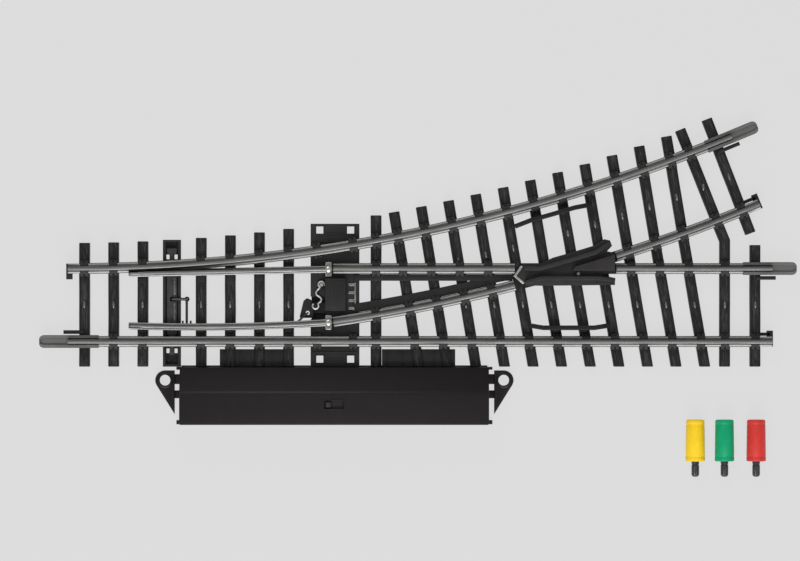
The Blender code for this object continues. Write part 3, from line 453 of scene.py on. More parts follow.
def cut_away(item, cutter_shape):
    """Cut a closed shape, built in the track frame, out of a finished piece."""
    cutter = add_object("cutter", placed_mesh("cutter", cutter_shape))
    modifier = item.modifiers.new("Cut", "BOOLEAN")
    modifier.operation = "DIFFERENCE"
    modifier.object = cutter
    modifier.solver = "EXACT"
    graph = bpy.context.evaluated_depsgraph_get()
    graph.update()
    result = bpy.data.meshes.new_from_object(item.evaluated_get(graph))
    item.modifiers.clear()
    item.data = result
    result.shade_smooth()
    result.set_sharp_from_angle(angle=SMOOTH_ANGLE)
    bpy.data.objects.remove(cutter, do_unlink=True)


# ---------------------------------------------------------------- materials

class Nodes:
    """Short ways to add and link shader nodes of one material."""

    def __init__(self, name):
        self.material = bpy.data.materials.new(name)
        self.material.use_nodes = True
        self.tree = self.material.node_tree
        self.shader = self.tree.nodes["Principled BSDF"]

    def add(self, kind, **settings):
        node = self.tree.nodes.new(kind)
        for key, value in settings.items():
            setattr(node, key, value)
        return node

    def link(self, output, target):
        self.tree.links.new(output, target)

    def coordinates(self, source, scale):
        """Texture coordinates in millimetres: along the piece's grain, or the world's at rest."""
        stretch = self.add("ShaderNodeMapping")
        if source == "grain":
            found = self.add("ShaderNodeAttribute", attribute_name="grain").outputs["Vector"]
            factor = 1.0
        else:
            found = self.add("ShaderNodeTexCoord").outputs["Object"]
            factor = 1.0 / MM
        stretch.inputs["Scale"].default_value = [factor * s for s in scale]
        self.link(found, stretch.inputs["Vector"])
        return stretch.outputs["Vector"]

    def noise(self, source, scale, detail=3.0, distortion=0.0):
        node = self.add("ShaderNodeTexNoise")
        node.inputs["Scale"].default_value = 1.0
        node.inputs["Detail"].default_value = detail
        node.inputs["Distortion"].default_value = distortion
        self.link(self.coordinates(source, scale), node.inputs["Vector"])
        return node.outputs["Fac"]

    def ramp(self, value, stops):
        node = self.add("ShaderNodeValToRGB")
        ramp = node.color_ramp
        while len(ramp.elements) < len(stops):
            ramp.elements.new(0.5)
        for element, (position, colour) in zip(ramp.elements, stops):
            element.position = position
            element.color = (*colour, 1.0)
        self.link(value, node.inputs["Fac"])
        return node.outputs["Color"]

    def spread(self, value, low, high, start=0.3, end=0.7):
        node = self.add("ShaderNodeMapRange")
        node.inputs["From Min"].default_value = start
        node.inputs["From Max"].default_value = end
        node.inputs["To Min"].default_value = low
        node.inputs["To Max"].default_value = high
        self.link(value, node.inputs["Value"])
        return node.outputs["Result"]

    def mix(self, factor, first, second):
        node = self.add("ShaderNodeMix", data_type="RGBA")
        self.link(factor, node.inputs["Factor"])
        colours = [socket for socket in node.inputs if socket.type == "RGBA"]
        for socket, value in zip(colours, (first, second)):
            if isinstance(value, tuple):
                socket.default_value = (*value, 1.0)
            else:
                self.link(value, socket)
        return [socket for socket in node.outputs if socket.type == "RGBA"][0]

    def facing_up(self):
        """1 on faces that look straight up, 0 on upright ones."""
        geometry = self.add("ShaderNodeNewGeometry")
        split = self.add("ShaderNodeSeparateXYZ")
        self.link(geometry.outputs["Normal"], split.inputs["Vector"])
        return self.spread(split.outputs["Z"], 0.0, 1.0, 0.35, 0.95)

    def bump(self, height, distance, strength=1.0):
        node = self.add("ShaderNodeBump")
        node.inputs["Distance"].default_value = distance * MM
        node.inputs["Strength"].default_value = strength
        self.link(height, node.inputs["Height"])
        self.link(node.outputs["Normal"], self.shader.inputs["Normal"])


def shade(colour, factor):
    return tuple(min(1.0, c * factor) for c in colour)


def plastic(name, colour, roughness, contrast=0.25, grain=4.0, depth=0.02):
    """Moulded plastic: soft blotches, fine spark-eroded grain and uneven gloss."""
    n = Nodes(name)
    blotch = n.noise("world", [0.35] * 3, 4.0)
    fine = n.noise("world", [grain] * 3, 3.0)
    base = n.ramp(blotch, [(0.3, shade(colour, 1 - contrast)), (0.7, shade(colour, 1 + contrast))])
    speck = n.spread(fine, 0.0, 1.0, 0.45, 0.75)
    n.link(n.mix(speck, base, shade(colour, 1 + 2 * contrast)), n.shader.inputs["Base Color"])
    n.link(n.spread(fine, roughness - 0.07, roughness + 0.1), n.shader.inputs["Roughness"])
    n.shader.inputs["Specular IOR Level"].default_value = PLASTIC_SHINE
    n.bump(fine, depth)
    return n.material


def sleeper_plastic():
    """Black plastic moulded as sawn wood, with grain along every sleeper."""
    n = Nodes("sleeper_plastic")
    streak = n.noise("grain", (5.0, 0.35, 2.0), 5.0, 0.4)
    blotch = n.noise("grain", (0.6, 0.3, 0.6), 3.0)
    fine = n.noise("grain", (16.0, 5.0, 16.0), 2.0)
    dark, mid, light = (0.0022, 0.0018, 0.0019), (0.0105, 0.0096, 0.0100), (0.066, 0.061, 0.063)
    grain = n.ramp(streak, [(0.38, dark), (0.52, mid), (0.72, light)])
    patch = n.spread(blotch, 0.0, 0.6, 0.5, 0.72)
    worn = n.mix(patch, grain, shade(light, 0.8))
    # Painted shade: the sleeper top darkens towards both long edges.
    edge_shaded = n.mix(across_ramp(n, SLEEPER_WIDTH / 2, SLEEPER_EDGE_SHADE), worn, dark)
    n.link(edge_shaded, n.shader.inputs["Base Color"])
    n.link(n.spread(streak, 0.62, 0.42), n.shader.inputs["Roughness"])
    n.shader.inputs["Specular IOR Level"].default_value = PLASTIC_SHINE
    n.bump(n.mix(n.spread(fine, 0.0, 0.4), streak, fine), 0.05, 0.8)
    return n.material


def across_ramp(n, half, stops):
    """A value that changes from one side of a swept piece to the other."""
    split = n.add("ShaderNodeSeparateXYZ")
    grain = n.add("ShaderNodeAttribute", attribute_name="grain")
    n.link(grain.outputs["Vector"], split.inputs["Vector"])
    across = n.spread(split.outputs["X"], 0.0, 1.0, -half, half)
    return n.ramp(across, [(place, (amount,) * 3) for place, amount in stops])


def drawn_steel(name, top, side, roughness, foot=0.0, source="grain"):
    """Steel drawn through a die: fine lines along its length, a painted lighter top and flanks in painted
    shade.
    """
    n = Nodes(name)
    lines = n.noise(source, (9.0, 0.12, 9.0), 4.0)
    stain = n.noise(source, (0.5, 0.16, 0.5), 4.0, 0.5)
    # Painted light: up-facing faces get the lighter top colour, upright flanks the darker side colour.
    metal = n.mix(n.facing_up(), side, top)
    lined = n.mix(n.spread(lines, 0.0, 0.6, 0.42, 0.7), metal, shade(side, 0.8))
    stains_and_painted_light = n.mix(n.spread(stain, 0.0, 0.45, 0.5, 0.75), lined, shade(top, 0.5))
    if foot:
        # Painted shade on the foot beside the web and under the head, wider on the left side.
        stains_and_painted_light = n.mix(across_ramp(n, foot, WEB_SHADE), stains_and_painted_light, shade(side, 0.3))
        # Painted highlights: thin lighter lines along both outer edges of the foot.
        stains_and_painted_light = n.mix(across_ramp(n, foot, FOOT_EDGE_HIGHLIGHTS), stains_and_painted_light, shade(top, 1.1))
    n.link(stains_and_painted_light, n.shader.inputs["Base Color"])
    n.shader.inputs["Metallic"].default_value = 1.0
    n.link(n.spread(lines, roughness - 0.06, roughness + 0.12), n.shader.inputs["Roughness"])
    n.bump(lines, 0.012)
    return n.material


def plain_metal(name, colour, roughness, contrast=0.2, scale=2.5, depth=0.008):
    """Pressed or turned metal with a mottled surface and faint scratches."""
    n = Nodes(name)
    mottle = n.noise("world", (scale, scale, scale), 4.0)
    scratch = n.noise("world", (scale * 0.4, scale * 6, scale * 6), 3.0)
    base = n.ramp(mottle, [(0.3, shade(colour, 1 - contrast)), (0.7, shade(colour, 1 + contrast))])
    worn = n.mix(n.spread(scratch, 0.0, 0.4, 0.55, 0.75), base, shade(colour, 0.6))
    n.link(worn, n.shader.inputs["Base Color"])
    n.shader.inputs["Metallic"].default_value = 1.0
    n.link(n.spread(mottle, roughness - 0.06, roughness + 0.1), n.shader.inputs["Roughness"])
    n.bump(scratch, depth)
    return n.material


def plug_plastic(name, colour):
    """Bright moulded plastic with a soft gloss, faint flow lines and handling marks."""
    n = Nodes(name)
    flow = n.noise("world", (1.6, 0.35, 1.6), 4.0, 0.6)
    fine = n.noise("world", (14.0, 14.0, 14.0), 2.0)
    base = n.ramp(flow, [(0.3, shade(colour, 0.9)), (0.7, shade(colour, 1.06))])
    n.link(n.mix(n.spread(fine, 0.0, 0.12), base, shade(colour, 0.75)), n.shader.inputs["Base Color"])
    n.link(n.spread(flow, 0.34, 0.46), n.shader.inputs["Roughness"])
    n.shader.inputs["Specular IOR Level"].default_value = PLASTIC_SHINE
    n.bump(fine, 0.008)
    n.shader.inputs["Subsurface Weight"].default_value = 0.04
    n.shader.inputs["Subsurface Radius"].default_value = (0.001, 0.0006, 0.0004)
    return n.material


def make_materials():
    black = (0.0150, 0.0135, 0.0140)
    return {
        "sleeper": sleeper_plastic(),
        "frame": plastic("frame_plastic_fine", black, 0.50, 0.3, 5.0, 0.03),
        "black": plastic("black_plastic_fine", black, 0.46, 0.22, 6.0, 0.015),
        "drive": plastic("drive_plastic", (0.0074, 0.0052, 0.0058), 0.42, 0.12, 8.0, 0.012),
        # Painted shade: a darker copy of the black plastic for the guard rails, against the light on their
        # tops.
        "guard": plastic("guard_plastic_painted_darker", shade(black, 0.4), 0.46, 0.25, 6.0, 0.015),
        # Painted light: a lighter copy of the black plastic for the frog, offsetting the shade it sits in.
        "frog": plastic("frog_plastic_painted_lighter", shade(black, 1.4), 0.46, 0.25, 6.0, 0.015),
        "slide": plastic("slide_plastic", (0.026, 0.024, 0.025), 0.45, 0.2, 6.0, 0.015),
        "grey_plastic": plastic("grey_plastic_fine", (0.10, 0.10, 0.105), 0.5, 0.2, 5.0, 0.02),
        "tie": plastic("tie_bar_plastic", (0.040, 0.039, 0.041), 0.5, 0.35, 4.0, 0.03),
        # Drawn steels take a painted lit top colour first, then a painted shaded flank colour.
        "rail": drawn_steel(
            "rail_steel_drawn", (0.27, 0.267, 0.263), (0.115, 0.113, 0.110), 0.42, FOOT_HALF
        ),
        "blade": drawn_steel(
            "blade_steel_drawn", (0.34, 0.336, 0.330), (0.150, 0.148, 0.145), 0.40, BLADE_FOOT_HALF
        ),
        "joiner": drawn_steel("joiner_sheet", (0.26, 0.256, 0.252), (0.110, 0.108, 0.105), 0.42),
        "spring": plain_metal("spring_steel_bright", (0.60, 0.59, 0.565), 0.30),
        "dark_steel": plain_metal("dark_steel_oiled", (0.075, 0.074, 0.076), 0.38),
        "stud": plain_metal("stud_steel", (0.19, 0.187, 0.184), 0.42, 0.45),
        "pin": plain_metal("plug_pin_steel", (0.10, 0.098, 0.104), 0.36, 0.3),
        "comb": plain_metal("contact_sheet", (0.30, 0.295, 0.28), 0.38, 0.3),
        "toggle": plain_metal("toggle_wire", (0.66, 0.65, 0.62), 0.40, 0.25),
        "brass": plain_metal("brass_strip", (0.70, 0.53, 0.26), 0.30),
        "copper": plain_metal("enamelled_copper", (0.68, 0.29, 0.14), 0.34),
        "yellow": plug_plastic("plug_yellow_moulded", (0.99, 0.64, 0.016)),
        "green": plug_plastic("plug_green_moulded", (0.0015, 0.36, 0.155)),
        "red": plug_plastic("plug_red_moulded", (0.66, 0.042, 0.034)),
    }


# ---------------------------------------------------------------- track plan

def arc_y(radius, x):
    """Height in plan of a branch arc at a given x."""
    return BRANCH_RADIUS - math.sqrt(radius ** 2 - x ** 2)


def arc_path(radius, start, end):
    """Points along a branch arc between two x values."""
    first, last = math.asin(start / radius), math.asin(end / radius)
    count = max(1, round(radius * (last - first) / ARC_STEP))
    angles = [first + (last - first) * i / count for i in range(count + 1)]
    return [(radius * math.sin(a), BRANCH_RADIUS - radius * math.cos(a)) for a in angles]


def branch_end_point(radius):
    """The place where a branch rail ends and the direction that it runs out in."""
    end = Vector((radius * math.sin(BRANCH_ANGLE), BRANCH_RADIUS - radius * math.cos(BRANCH_ANGLE)))
    return end, Vector((math.cos(BRANCH_ANGLE), math.sin(BRANCH_ANGLE)))


def sleeper_layout():
    """Plan paths of every sleeper, each from its upper end to its lower end."""
    layout = []
    for x in (FIRST_SLEEPER + SLEEPER_PITCH * i for i in UPRIGHT_SLEEPERS):
        layout.append([(x, arc_y(INNER_RADIUS, x) + SLEEPER_OVERHANG), (x, SLEEPER_END)])
    for i in range(FAN_COUNT):
        top = FAN_TOP_START + FAN_TOP_PITCH * i
        foot = FAN_FOOT_START + FAN_FOOT_PITCH * i
        layout.append([(top, arc_y(INNER_RADIUS, top) + SLEEPER_OVERHANG), (foot, SLEEPER_END - TRIM)])
    bent = FIRST_SLEEPER + 22 * SLEEPER_PITCH - 0.3
    layout.append([(146.9, 42.1), (bent, 15.4), (bent, SLEEPER_END)])
    layout.append([(153.3, 44.6), (163.8, 17.2)])
    layout.append([(LAST_SLEEPER, 14.4), (LAST_SLEEPER, SLEEPER_END)])
    return layout


def crossing(path, line_y):
    """Where a sleeper's path crosses a line y(x), or None."""
    for (x0, y0), (x1, y1) in zip(path, path[1:]):
        share = 0.5
        for _ in range(6):
            share = (line_y(x0 + (x1 - x0) * share) - y0) / (y1 - y0)
        if 0.0 < share < 1.0:
            x = x0 + (x1 - x0) * share
            return x, line_y(x)
    return None


def rail_lines():
    """Each rail as its y(x), its slope(x), the x ranges with chairs, and its inner side or 0."""
    def straight(y):
        return lambda x: y

    def curved(radius):
        return lambda x: arc_y(radius, x)

    def slope(radius):
        return lambda x: math.asin(x / radius)

    before_frog = (PLATE_RIGHT, FROG_START)
    return [
        (straight(-HALF_GAUGE), straight(0.0), [(5.0, 166.0)], 1),
        (curved(INNER_RADIUS), slope(INNER_RADIUS), [(0.0, 150.0)], -1),
        (straight(HALF_GAUGE), straight(0.0), [before_frog, (FROG_END, 162.0)], 0),
        (curved(OUTER_RADIUS), slope(OUTER_RADIUS), [before_frog, (FROG_END, 166.0)], 0),
    ]


# ---------------------------------------------------------------- sleepers and their moulding

def smooth_noise(rng, length, spacing):
    """A random curve along a sleeper, as a function of distance."""
    knots = [rng.random() for _ in range(int(length / spacing) + 3)]

    def value(distance):
        index, share = divmod(max(0.0, distance) / spacing, 1.0)
        blend = (1 - math.cos(math.pi * share)) / 2
        return knots[int(index)] * (1 - blend) + knots[int(index) + 1] * blend

    return value


def add_sleeper(shape, path, width, seed):
    """One sleeper with drafted sides, soft edges and grain cut into its top."""
    rng = random.Random(seed)
    rows = stations(resample(path, 0.75))
    length = rows[-1][3]
    half = width / 2
    top_half = half - 0.1
    columns = 12
    relief = 0.085
    grain = [smooth_noise(rng, length, rng.uniform(1.4, 4.5)) for _ in range(columns)]
    bow = smooth_noise(rng, length, 6.0)
    edge = 0.12
    first, last = rows[0], rows[-1]
    eased = [(first[0] + first[2] * edge, first[1], first[2], edge)]
    eased += rows[1:-1]
    eased += [(last[0] - last[2] * edge, last[1], last[2], length - edge)]
    rings, marks = [], []
    for row, tight in [(first, edge)] + [(row, 0.0) for row in eased] + [(last, edge)]:
        point, side, along, distance = row
        lowest = SLEEPER_END + (0.0 if tight else edge)
        wobble = 0.05 * (bow(distance) - 0.5)
        left = [
            (-half + tight, 0.0),
            (-half + tight + 0.03, 1.2),
            (-top_half + tight, SLEEPER_TOP - 0.22 - tight),
            (-top_half + tight + 0.07, SLEEPER_TOP - 0.07 - tight),
        ]
        top = []
        reach = top_half - 0.22 - tight
        for i in range(columns):
            across = -reach + 2 * reach * i / (columns - 1)
            height = SLEEPER_TOP - 0.01 - relief * grain[i](distance) - tight
            top.append((across, height))
        right = [(-a, b) for a, b in reversed(left)]
        outline = [(a + wobble, b) for a, b in left + top + right]
        ring, mark = [], []
        for across, up in outline:
            spot = point - side * across
            if spot.y < lowest:
                spot += along * ((lowest - spot.y) / along.y)
            ring.append((spot.x, spot.y, up))
            mark.append((across, distance + seed * SEED_SHIFT, up))
        rings.append(ring)
        marks.append(mark)
    add_loft(shape, rings, marks)


def make_sleepers():
    shape = bmesh.new()
    for seed, path in enumerate(sleeper_layout()):
        add_sleeper(shape, path, SLEEPER_WIDTH, seed)
    piece("sleepers", shape, "sleeper", ["sleeper_frame"])


def make_tie_sleeper():
    """The wide sleeper: a trough for the tie bar, pierced beside the rails."""
    top_y = arc_y(INNER_RADIUS, TIE_X) + SLEEPER_OVERHANG
    half = WIDE_SLEEPER / 2
    groove = TIE_HALF + 0.25
    outer = rectangle((TIE_X - half, TIE_X + half), (SLEEPER_END, top_y))
    trough = rectangle((TIE_X - groove, TIE_X + groove), (SLEEPER_END + 0.6, top_y - 0.6))
    holes = []
    for y in (11.55, -11.0):
        for side in (-1, 1):
            x = TIE_X + side * 0.97
            holes.append(around(x, y, 0.38, 0.55))
    shape = bmesh.new()
    add_plate(shape, [outer] + holes, (0.0, 1.1), 0.05)
    add_plate(shape, [outer, trough], (1.05, SLEEPER_TOP), 0.12)
    for y in (SLEEPER_END + 1.4, top_y - 1.4):
        for side in (-1, 1):
            strut = turned_rectangle((TIE_X, y), side * math.radians(38), 2.9, 0.32)
            add_plate(shape, [strut], (1.0, 1.24), 0.05)
    bracket = rectangle((TIE_X + 1.9, CRANK_PIVOT[0]), (CRANK_PIVOT[1] - 0.34, CRANK_PIVOT[1] + 0.34))
    add_plate(shape, [bracket], (0.6, 1.85), 0.1)
    ring = [(0.34, 0.6), (0.62, 0.6), (0.62, 1.8), (0.54, 1.9), (0.34, 1.9), (0.34, 0.6)]
    add_lathe(shape, ring, (*CRANK_PIVOT, 0.0), segments=24)
    piece("tie_bar_sleeper", shape, "frame")


def make_rail_webs():
    """Bars between the sleepers under the rails, broken where the tie bar passes."""
    section = rounded_section(FOOT_HALF + 0.1, WEB_BOTTOM, WEB_TOP, 0.2)
    gap = WIDE_SLEEPER / 2 - 0.15
    before, after = TIE_X - gap, TIE_X + gap
    paths = [
        [(FIRST_SLEEPER, -HALF_GAUGE), (before, -HALF_GAUGE)],
        [(after, -HALF_GAUGE), (LAST_SLEEPER, -HALF_GAUGE)],
        [(PLATE_RIGHT - 0.5, HALF_GAUGE), (LAST_SLEEPER, HALF_GAUGE)],
        arc_path(INNER_RADIUS, FIRST_SLEEPER, before),
        arc_path(INNER_RADIUS, after, 155.5),
        arc_path(OUTER_RADIUS, PLATE_RIGHT - 0.5, 161.6),
    ]
    shape = bmesh.new()
    for path in paths:
        add_sweep(shape, path, section)
    piece("rail_webs", shape, "frame")


def make_flange_strips():
    """Low black strips on the inner sides of the closure rails, meeting before the frog."""
    half, curved_half = 0.8, 1.1
    offset, curved_offset = FOOT_HALF + 0.15 + half, FOOT_HALF + 0.15 + curved_half
    start, meet = PLATE_RIGHT - 1.2, 101.0
    shape = bmesh.new()
    level = HALF_GAUGE - offset
    add_sweep(shape, [(start, level), (meet + 5.6, level)], rounded_section(half, 1.0, 3.0, 0.15))
    curve = arc_path(OUTER_RADIUS - curved_offset, start, meet)
    add_sweep(shape, curve, rounded_section(curved_half, 1.0, 2.96, 0.15))
    wedge = [(meet - 1.2, arc_y(OUTER_RADIUS, meet) + curved_offset - 0.8)]
    wedge.append((FROG_START - 0.6, arc_y(OUTER_RADIUS, FROG_START) + 1.35))
    wedge.append((FROG_START - 0.6, HALF_GAUGE - 1.3))
    wedge += [(meet - 1.2, HALF_GAUGE - offset)]
    add_plate(shape, [wedge], (1.4, 2.92), 0.1)
    piece("flange_strips", shape, "frame")


def chair_places():
    """Every chair half as (x, y, rail angle, side, low), low where a blade passes over it."""
    places = []
    extra = [[(x, 30.0), (x, -30.0)] for x in (59.8, 68.4)]
    for path in sleeper_layout() + extra:
        for line_y, slope, ranges, inside in rail_lines():
            found = crossing(path, line_y)
            if not found or not any(low < found[0] < high for low, high in ranges):
                continue
            for side in (1, -1):
                low = side == inside and TIP_X - 1.5 < found[0] < HEEL_X
                places.append((found[0], found[1], slope(found[0]), side, low))
    return places


def make_chairs():
    """Moulded chairs that hook over the rail foot, with a bolt head on each."""
    hook = [
        (2.0, 2.25), (2.0, 2.8), (1.9, 2.98), (1.7, 3.08), (1.45, 3.2),
        (0.66, 3.62), (0.55, 3.62), (0.5, 3.54), (0.5, 3.3), (1.24, 3.1), (1.28, 2.25),
    ]
    flat = [(2.0, 2.25), (2.0, 2.8), (1.9, 2.98), (1.75, 3.05), (1.34, 3.1), (1.28, 3.0), (1.28, 2.25)]
    chairs, bolts = bmesh.new(), bmesh.new()
    for x, y, angle, side, low in chair_places():
        along = heading(angle)
        across = left_of(along) * side
        middle = Vector((x, y))
        rings = []
        for shift, shrink in ((-1.0, 0.12), (-0.9, 0.0), (0.9, 0.0), (1.0, 0.12)):
            ring = []
            for out, up in flat if low else hook:
                spot = middle + along * shift + across * (out + (shrink if out < 1.0 else -shrink))
                ring.append((spot.x, spot.y, max(2.25, up - shrink)))
            rings.append(ring if side > 0 else ring[::-1])
        add_loft(chairs, rings)
        spot = middle + across * 1.64
        head = [(0.0, 3.0), (0.30, 3.0), (0.30, 3.24), (0.22, 3.32), (0.0, 3.34)]
        if low:
            head = [(r, z - 0.1) for r, z in head]
        add_lathe(bolts, head, (spot.x, spot.y, 0.0), segments=6)
    piece("rail_chairs", chairs, "frame")
    piece("chair_bolts", bolts, "black")


def make_slide_chairs():
    """Smooth plates on the sleepers that the blades slide on."""
    shape = bmesh.new()
    for path in sleeper_layout():
        x = path[0][0]
        if not TIP_X - 1.0 < x < PLATE_LEFT:
            continue
        share = (x - TIP_X) / (HEEL_X - TIP_X)
        straight = STRAIGHT_TIP_Y + (STRAIGHT_HEEL_Y - STRAIGHT_TIP_Y) * share
        curved = CURVED_TIP_Y + (CURVED_HEEL_Y - CURVED_TIP_Y) * share
        for y in (straight - 1.1, curved - 1.0):
            add_plate(shape, [around(x, y, 0.9, 1.3)], (2.2, 2.58), 0.06)
    piece("slide_chairs", shape, "black")


def make_centre_studs():
    """Small oval contact studs along both centre lines."""
    shape = bmesh.new()
    lines = [(lambda x: 0.1, 0.0), (lambda x: arc_y(BRANCH_RADIUS, x), 76.0)]
    for path in sleeper_layout():
        for line, first_x in lines:
            found = crossing(path, line)
            if not found or found[0] < first_x:
                continue
            in_frog = FROG_START < found[0] < FROG_END and abs(found[1] - 10.0) < 5.5
            if in_frog:
                continue
            (x0, y0), (x1, y1) = path[-2:]
            tilt = math.atan2(x1 - x0, y0 - y1)
            profile = [(1.0, 2.2), (1.0, 2.42), (0.86, 2.56), (0.55, 2.66), (0.0, 2.7)]
            rings = []
            for reach, up in profile[:-1]:
                ring = []
                for a in range(16):
                    angle = 2 * math.pi * a / 16
                    local = Vector((0.4 * reach * math.cos(angle), 0.95 * reach * math.sin(angle)))
                    spot = Matrix.Rotation(tilt, 2) @ local + Vector(found)
                    ring.append((spot.x, spot.y, up))
                rings.append(ring)
            add_loft(shape, rings)
    piece("centre_studs", shape, "stud")


def rail_stop(end, angle, bar_length):
    """The hook round a rail's end, and the bar that ties it to the last sleeper."""
    along = heading(angle)
    side = left_of(along)
    end = Vector(end)
    outer_edge, inner_edge = -FOOT_HALF, FOOT_HALF + 1.4
    hook = end + side * (outer_edge + inner_edge) / 2
    outlines = [turned_rectangle(hook, angle, 1.5, inner_edge - outer_edge)]
    if bar_length:
        bar = end - along * bar_length / 2 + side * (FOOT_HALF + 0.55)
        outlines.append(turned_rectangle(bar, angle, bar_length, 0.8))
    return outlines


def make_end_tabs():
    """Tongues, bars and hooks at the rail ends, and the plates that the drive hooks under."""
    low, high = 0.9, SLEEPER_TOP - 0.05
    gap = FOOT_HALF + 1.05
    toe, far = gap - HALF_GAUGE, HALF_GAUGE - gap
    bar_reach = STRAIGHT_LENGTH - LAST_SLEEPER
    shape = bmesh.new()
    tongues = [rectangle((-1.1, FIRST_SLEEPER), (toe - 0.45, toe + 0.45))]
    tongues.append(rectangle((LAST_SLEEPER, 169.8), (far - 0.45, far + 0.45)))
    end, along = branch_end_point(INNER_RADIUS)
    side = left_of(along)
    tongues.append(turned_rectangle(end - along * 1.6 - side * gap, BRANCH_ANGLE, 5.6, 0.9))
    bars = [
        rectangle((0.0, FIRST_SLEEPER), (HALF_GAUGE - 0.8, HALF_GAUGE + 0.8)),
        rectangle((LAST_SLEEPER, STRAIGHT_LENGTH), (-HALF_GAUGE - 0.8, -HALF_GAUGE + 0.8)),
    ]
    end, along = branch_end_point(OUTER_RADIUS)
    bars.append(turned_rectangle(end - along * 1.9, BRANCH_ANGLE, 4.4, 1.6))
    stops = rail_stop((0.3, HALF_GAUGE), math.pi, 0.0)
    stops += rail_stop((STRAIGHT_LENGTH - 0.5, -HALF_GAUGE), 0.0, bar_reach)
    stops += rail_stop(end - along * 0.3, BRANCH_ANGLE, bar_reach)
    for outline in tongues:
        add_plate(shape, [outline], (low, high + 0.4), 0.12)
    for outline in bars:
        add_plate(shape, [outline], (low, WEB_TOP - 0.1), 0.1)
    for outline in stops:
        add_plate(shape, [outline], (low - 0.1, high), 0.12)
    for left, right in ((36.4, 53.9), (75.3, 92.9)):
        add_block(shape, (left, right), (SLEEPER_END, -10.6), (0.75, 2.1), 0.1)
        for i in range(5):
            x = left + 1.2 + (right - left - 2.4) * i / 4
            add_block(shape, (x - 0.2, x + 0.2), (SLEEPER_END + 0.3, -11.2), (2.0, 2.3), 0.08)
    piece("end_tabs", shape, "frame")


def make_base_plate():
    """The plate under the mechanism in three layers round the slide's groove."""
    squares = [(x, y) for x in (60.4, 67.8) for y in (-13.0, 18.0)]
    hole, rim = 0.85, 1.15
    bottom, skin_low = 0.57, SKIN_BOTTOM + 0.02

    def square(x, y):
        return around(x, y, hole, hole)

    left, right = PLATE_LEFT, PLATE_RIGHT
    low, high = PLATE_LOW, PLATE_HIGH
    channel_left, channel_right = ARM_X - 0.85, ARM_X + STROKE + 0.85
    window_x, window_low, window_high = SLIDE_EYE[0] + STROKE + 1.75, SLIDE_EYE[1] - 1.5, SLIDE_EYE[1] + 3.9
    slot_x = SPRING_PIN[0] + STROKE + 1.25
    skin = [
        (left, high), (left, window_high), (window_x, window_high), (window_x, 0.8), (slot_x, 0.8),
        (slot_x, -1.2), (window_x, -1.2), (window_x, window_low), (left, window_low), (left, low),
        (right, low), (right, high),
    ]
    holes = [square(*place) for place in squares]
    holes += [circle((HEEL_X, y), 0.55, 16) for y in (STRAIGHT_HEEL_Y, CURVED_HEEL_Y)]
    holes.append(circle(SPRING_POST, 0.5, 16))
    middle_upper = [
        (left, high), (left, window_high), (window_x, window_high), (window_x, 0.9), (67.2, 0.9),
        (67.2, -2.3), (channel_right, -2.3), (channel_right, low), (right, low), (right, high),
    ]
    middle_lower = rectangle((left, channel_left), (low, window_low))
    foot_upper = [
        (left, high), (left, 2.6), (67.6, 2.6), (67.6, -11.9), (channel_right, -11.9),
        (channel_right, low), (right, low), (right, high),
    ]
    foot_lower = rectangle((left, channel_left), (low, -11.9))
    upper_holes = [square(*squares[1]), square(*squares[2]), square(*squares[3])]
    lower_holes = [square(*squares[0])]
    shape = bmesh.new()
    add_plate(shape, [skin] + holes, (SKIN_BOTTOM, SLEEPER_TOP), 0.1)
    for upper, lower, levels in (
        (middle_upper, middle_lower, (bottom - 0.02, skin_low)),
        (foot_upper, foot_lower, (0.0, bottom)),
    ):
        add_plate(shape, [upper] + upper_holes, levels, 0.03)
        add_plate(shape, [lower] + lower_holes, levels, 0.03)
    for x, y in squares:
        add_plate(shape, [around(x, y, rim, rim), square(x, y)], (2.3, 2.55), 0.07)
    ribs = [
        rectangle((59.0, 69.1), (15.0, 15.4)),
        rectangle((61.9, 66.3), (16.9, 17.3)),
        rectangle((61.9, 66.3), (-13.3, -12.9)),
        rectangle((58.7, 69.3), (-11.5, -11.1)),
    ]
    for rib in ribs:
        add_plate(shape, [rib], (2.3, 2.58), 0.07)
    piece("base_plate", shape, "frame")


def make_heel_straps():
    """Bright pressed straps across both blade heels, and a comb of contacts beside the block."""
    shape = bmesh.new()
    for y in (STRAIGHT_HEEL_Y, CURVED_HEEL_Y):
        outline = fillet_outline(around(HEEL_X, y, 0.75, 1.75), [0.35] * 4)
        add_plate(shape, [outline, circle((HEEL_X, y), 0.42, 16)], (2.38, 2.56), 0.03)
        for side in (-1, 1):
            tab = rectangle((HEEL_X - 0.5, HEEL_X + 0.5), (y + side * 1.5 - 0.13, y + side * 1.5 + 0.13))
            add_plate(shape, [tab], (2.5, 3.3), 0.04)
    piece("heel_straps", shape, "spring")
    comb = bmesh.new()
    for i in range(4):
        y = 4.9 - 1.9 * i
        add_block(comb, (67.3, 68.9), (y - 0.35, y + 0.35), (2.38, 2.62), 0.05)
    add_block(comb, (68.7, 69.1), (-1.3, 5.4), (2.38, 2.68), 0.05)
    piece("contact_comb", comb, "comb")


# ---------------------------------------------------------------- rails

def rail_section(foot=FOOT_HALF, web=WEB_HALF, head=HEAD_HALF, height=RAIL_HEIGHT):
    """A fine flat-bottom rail outline: rounded head, filleted web and thin foot."""
    corner = 0.2
    right = [
        (foot - 0.05, 0.0),
        (foot, 0.05),
        (foot, 0.2),
        (foot - 0.05, 0.27),
        (foot * 0.62, 0.36),
        (web + 0.1, 0.46),
        (web, 0.6),
        (web, height - 1.05),
        (web + 0.04, height - 0.94),
        (head - 0.04, height - 0.8),
        (head, height - 0.72),
    ]
    right += ring_points((head - corner, height - corner - 0.02), corner, 0, 80, 4)
    right.append((head * 0.3, height))
    return mirrored(right)


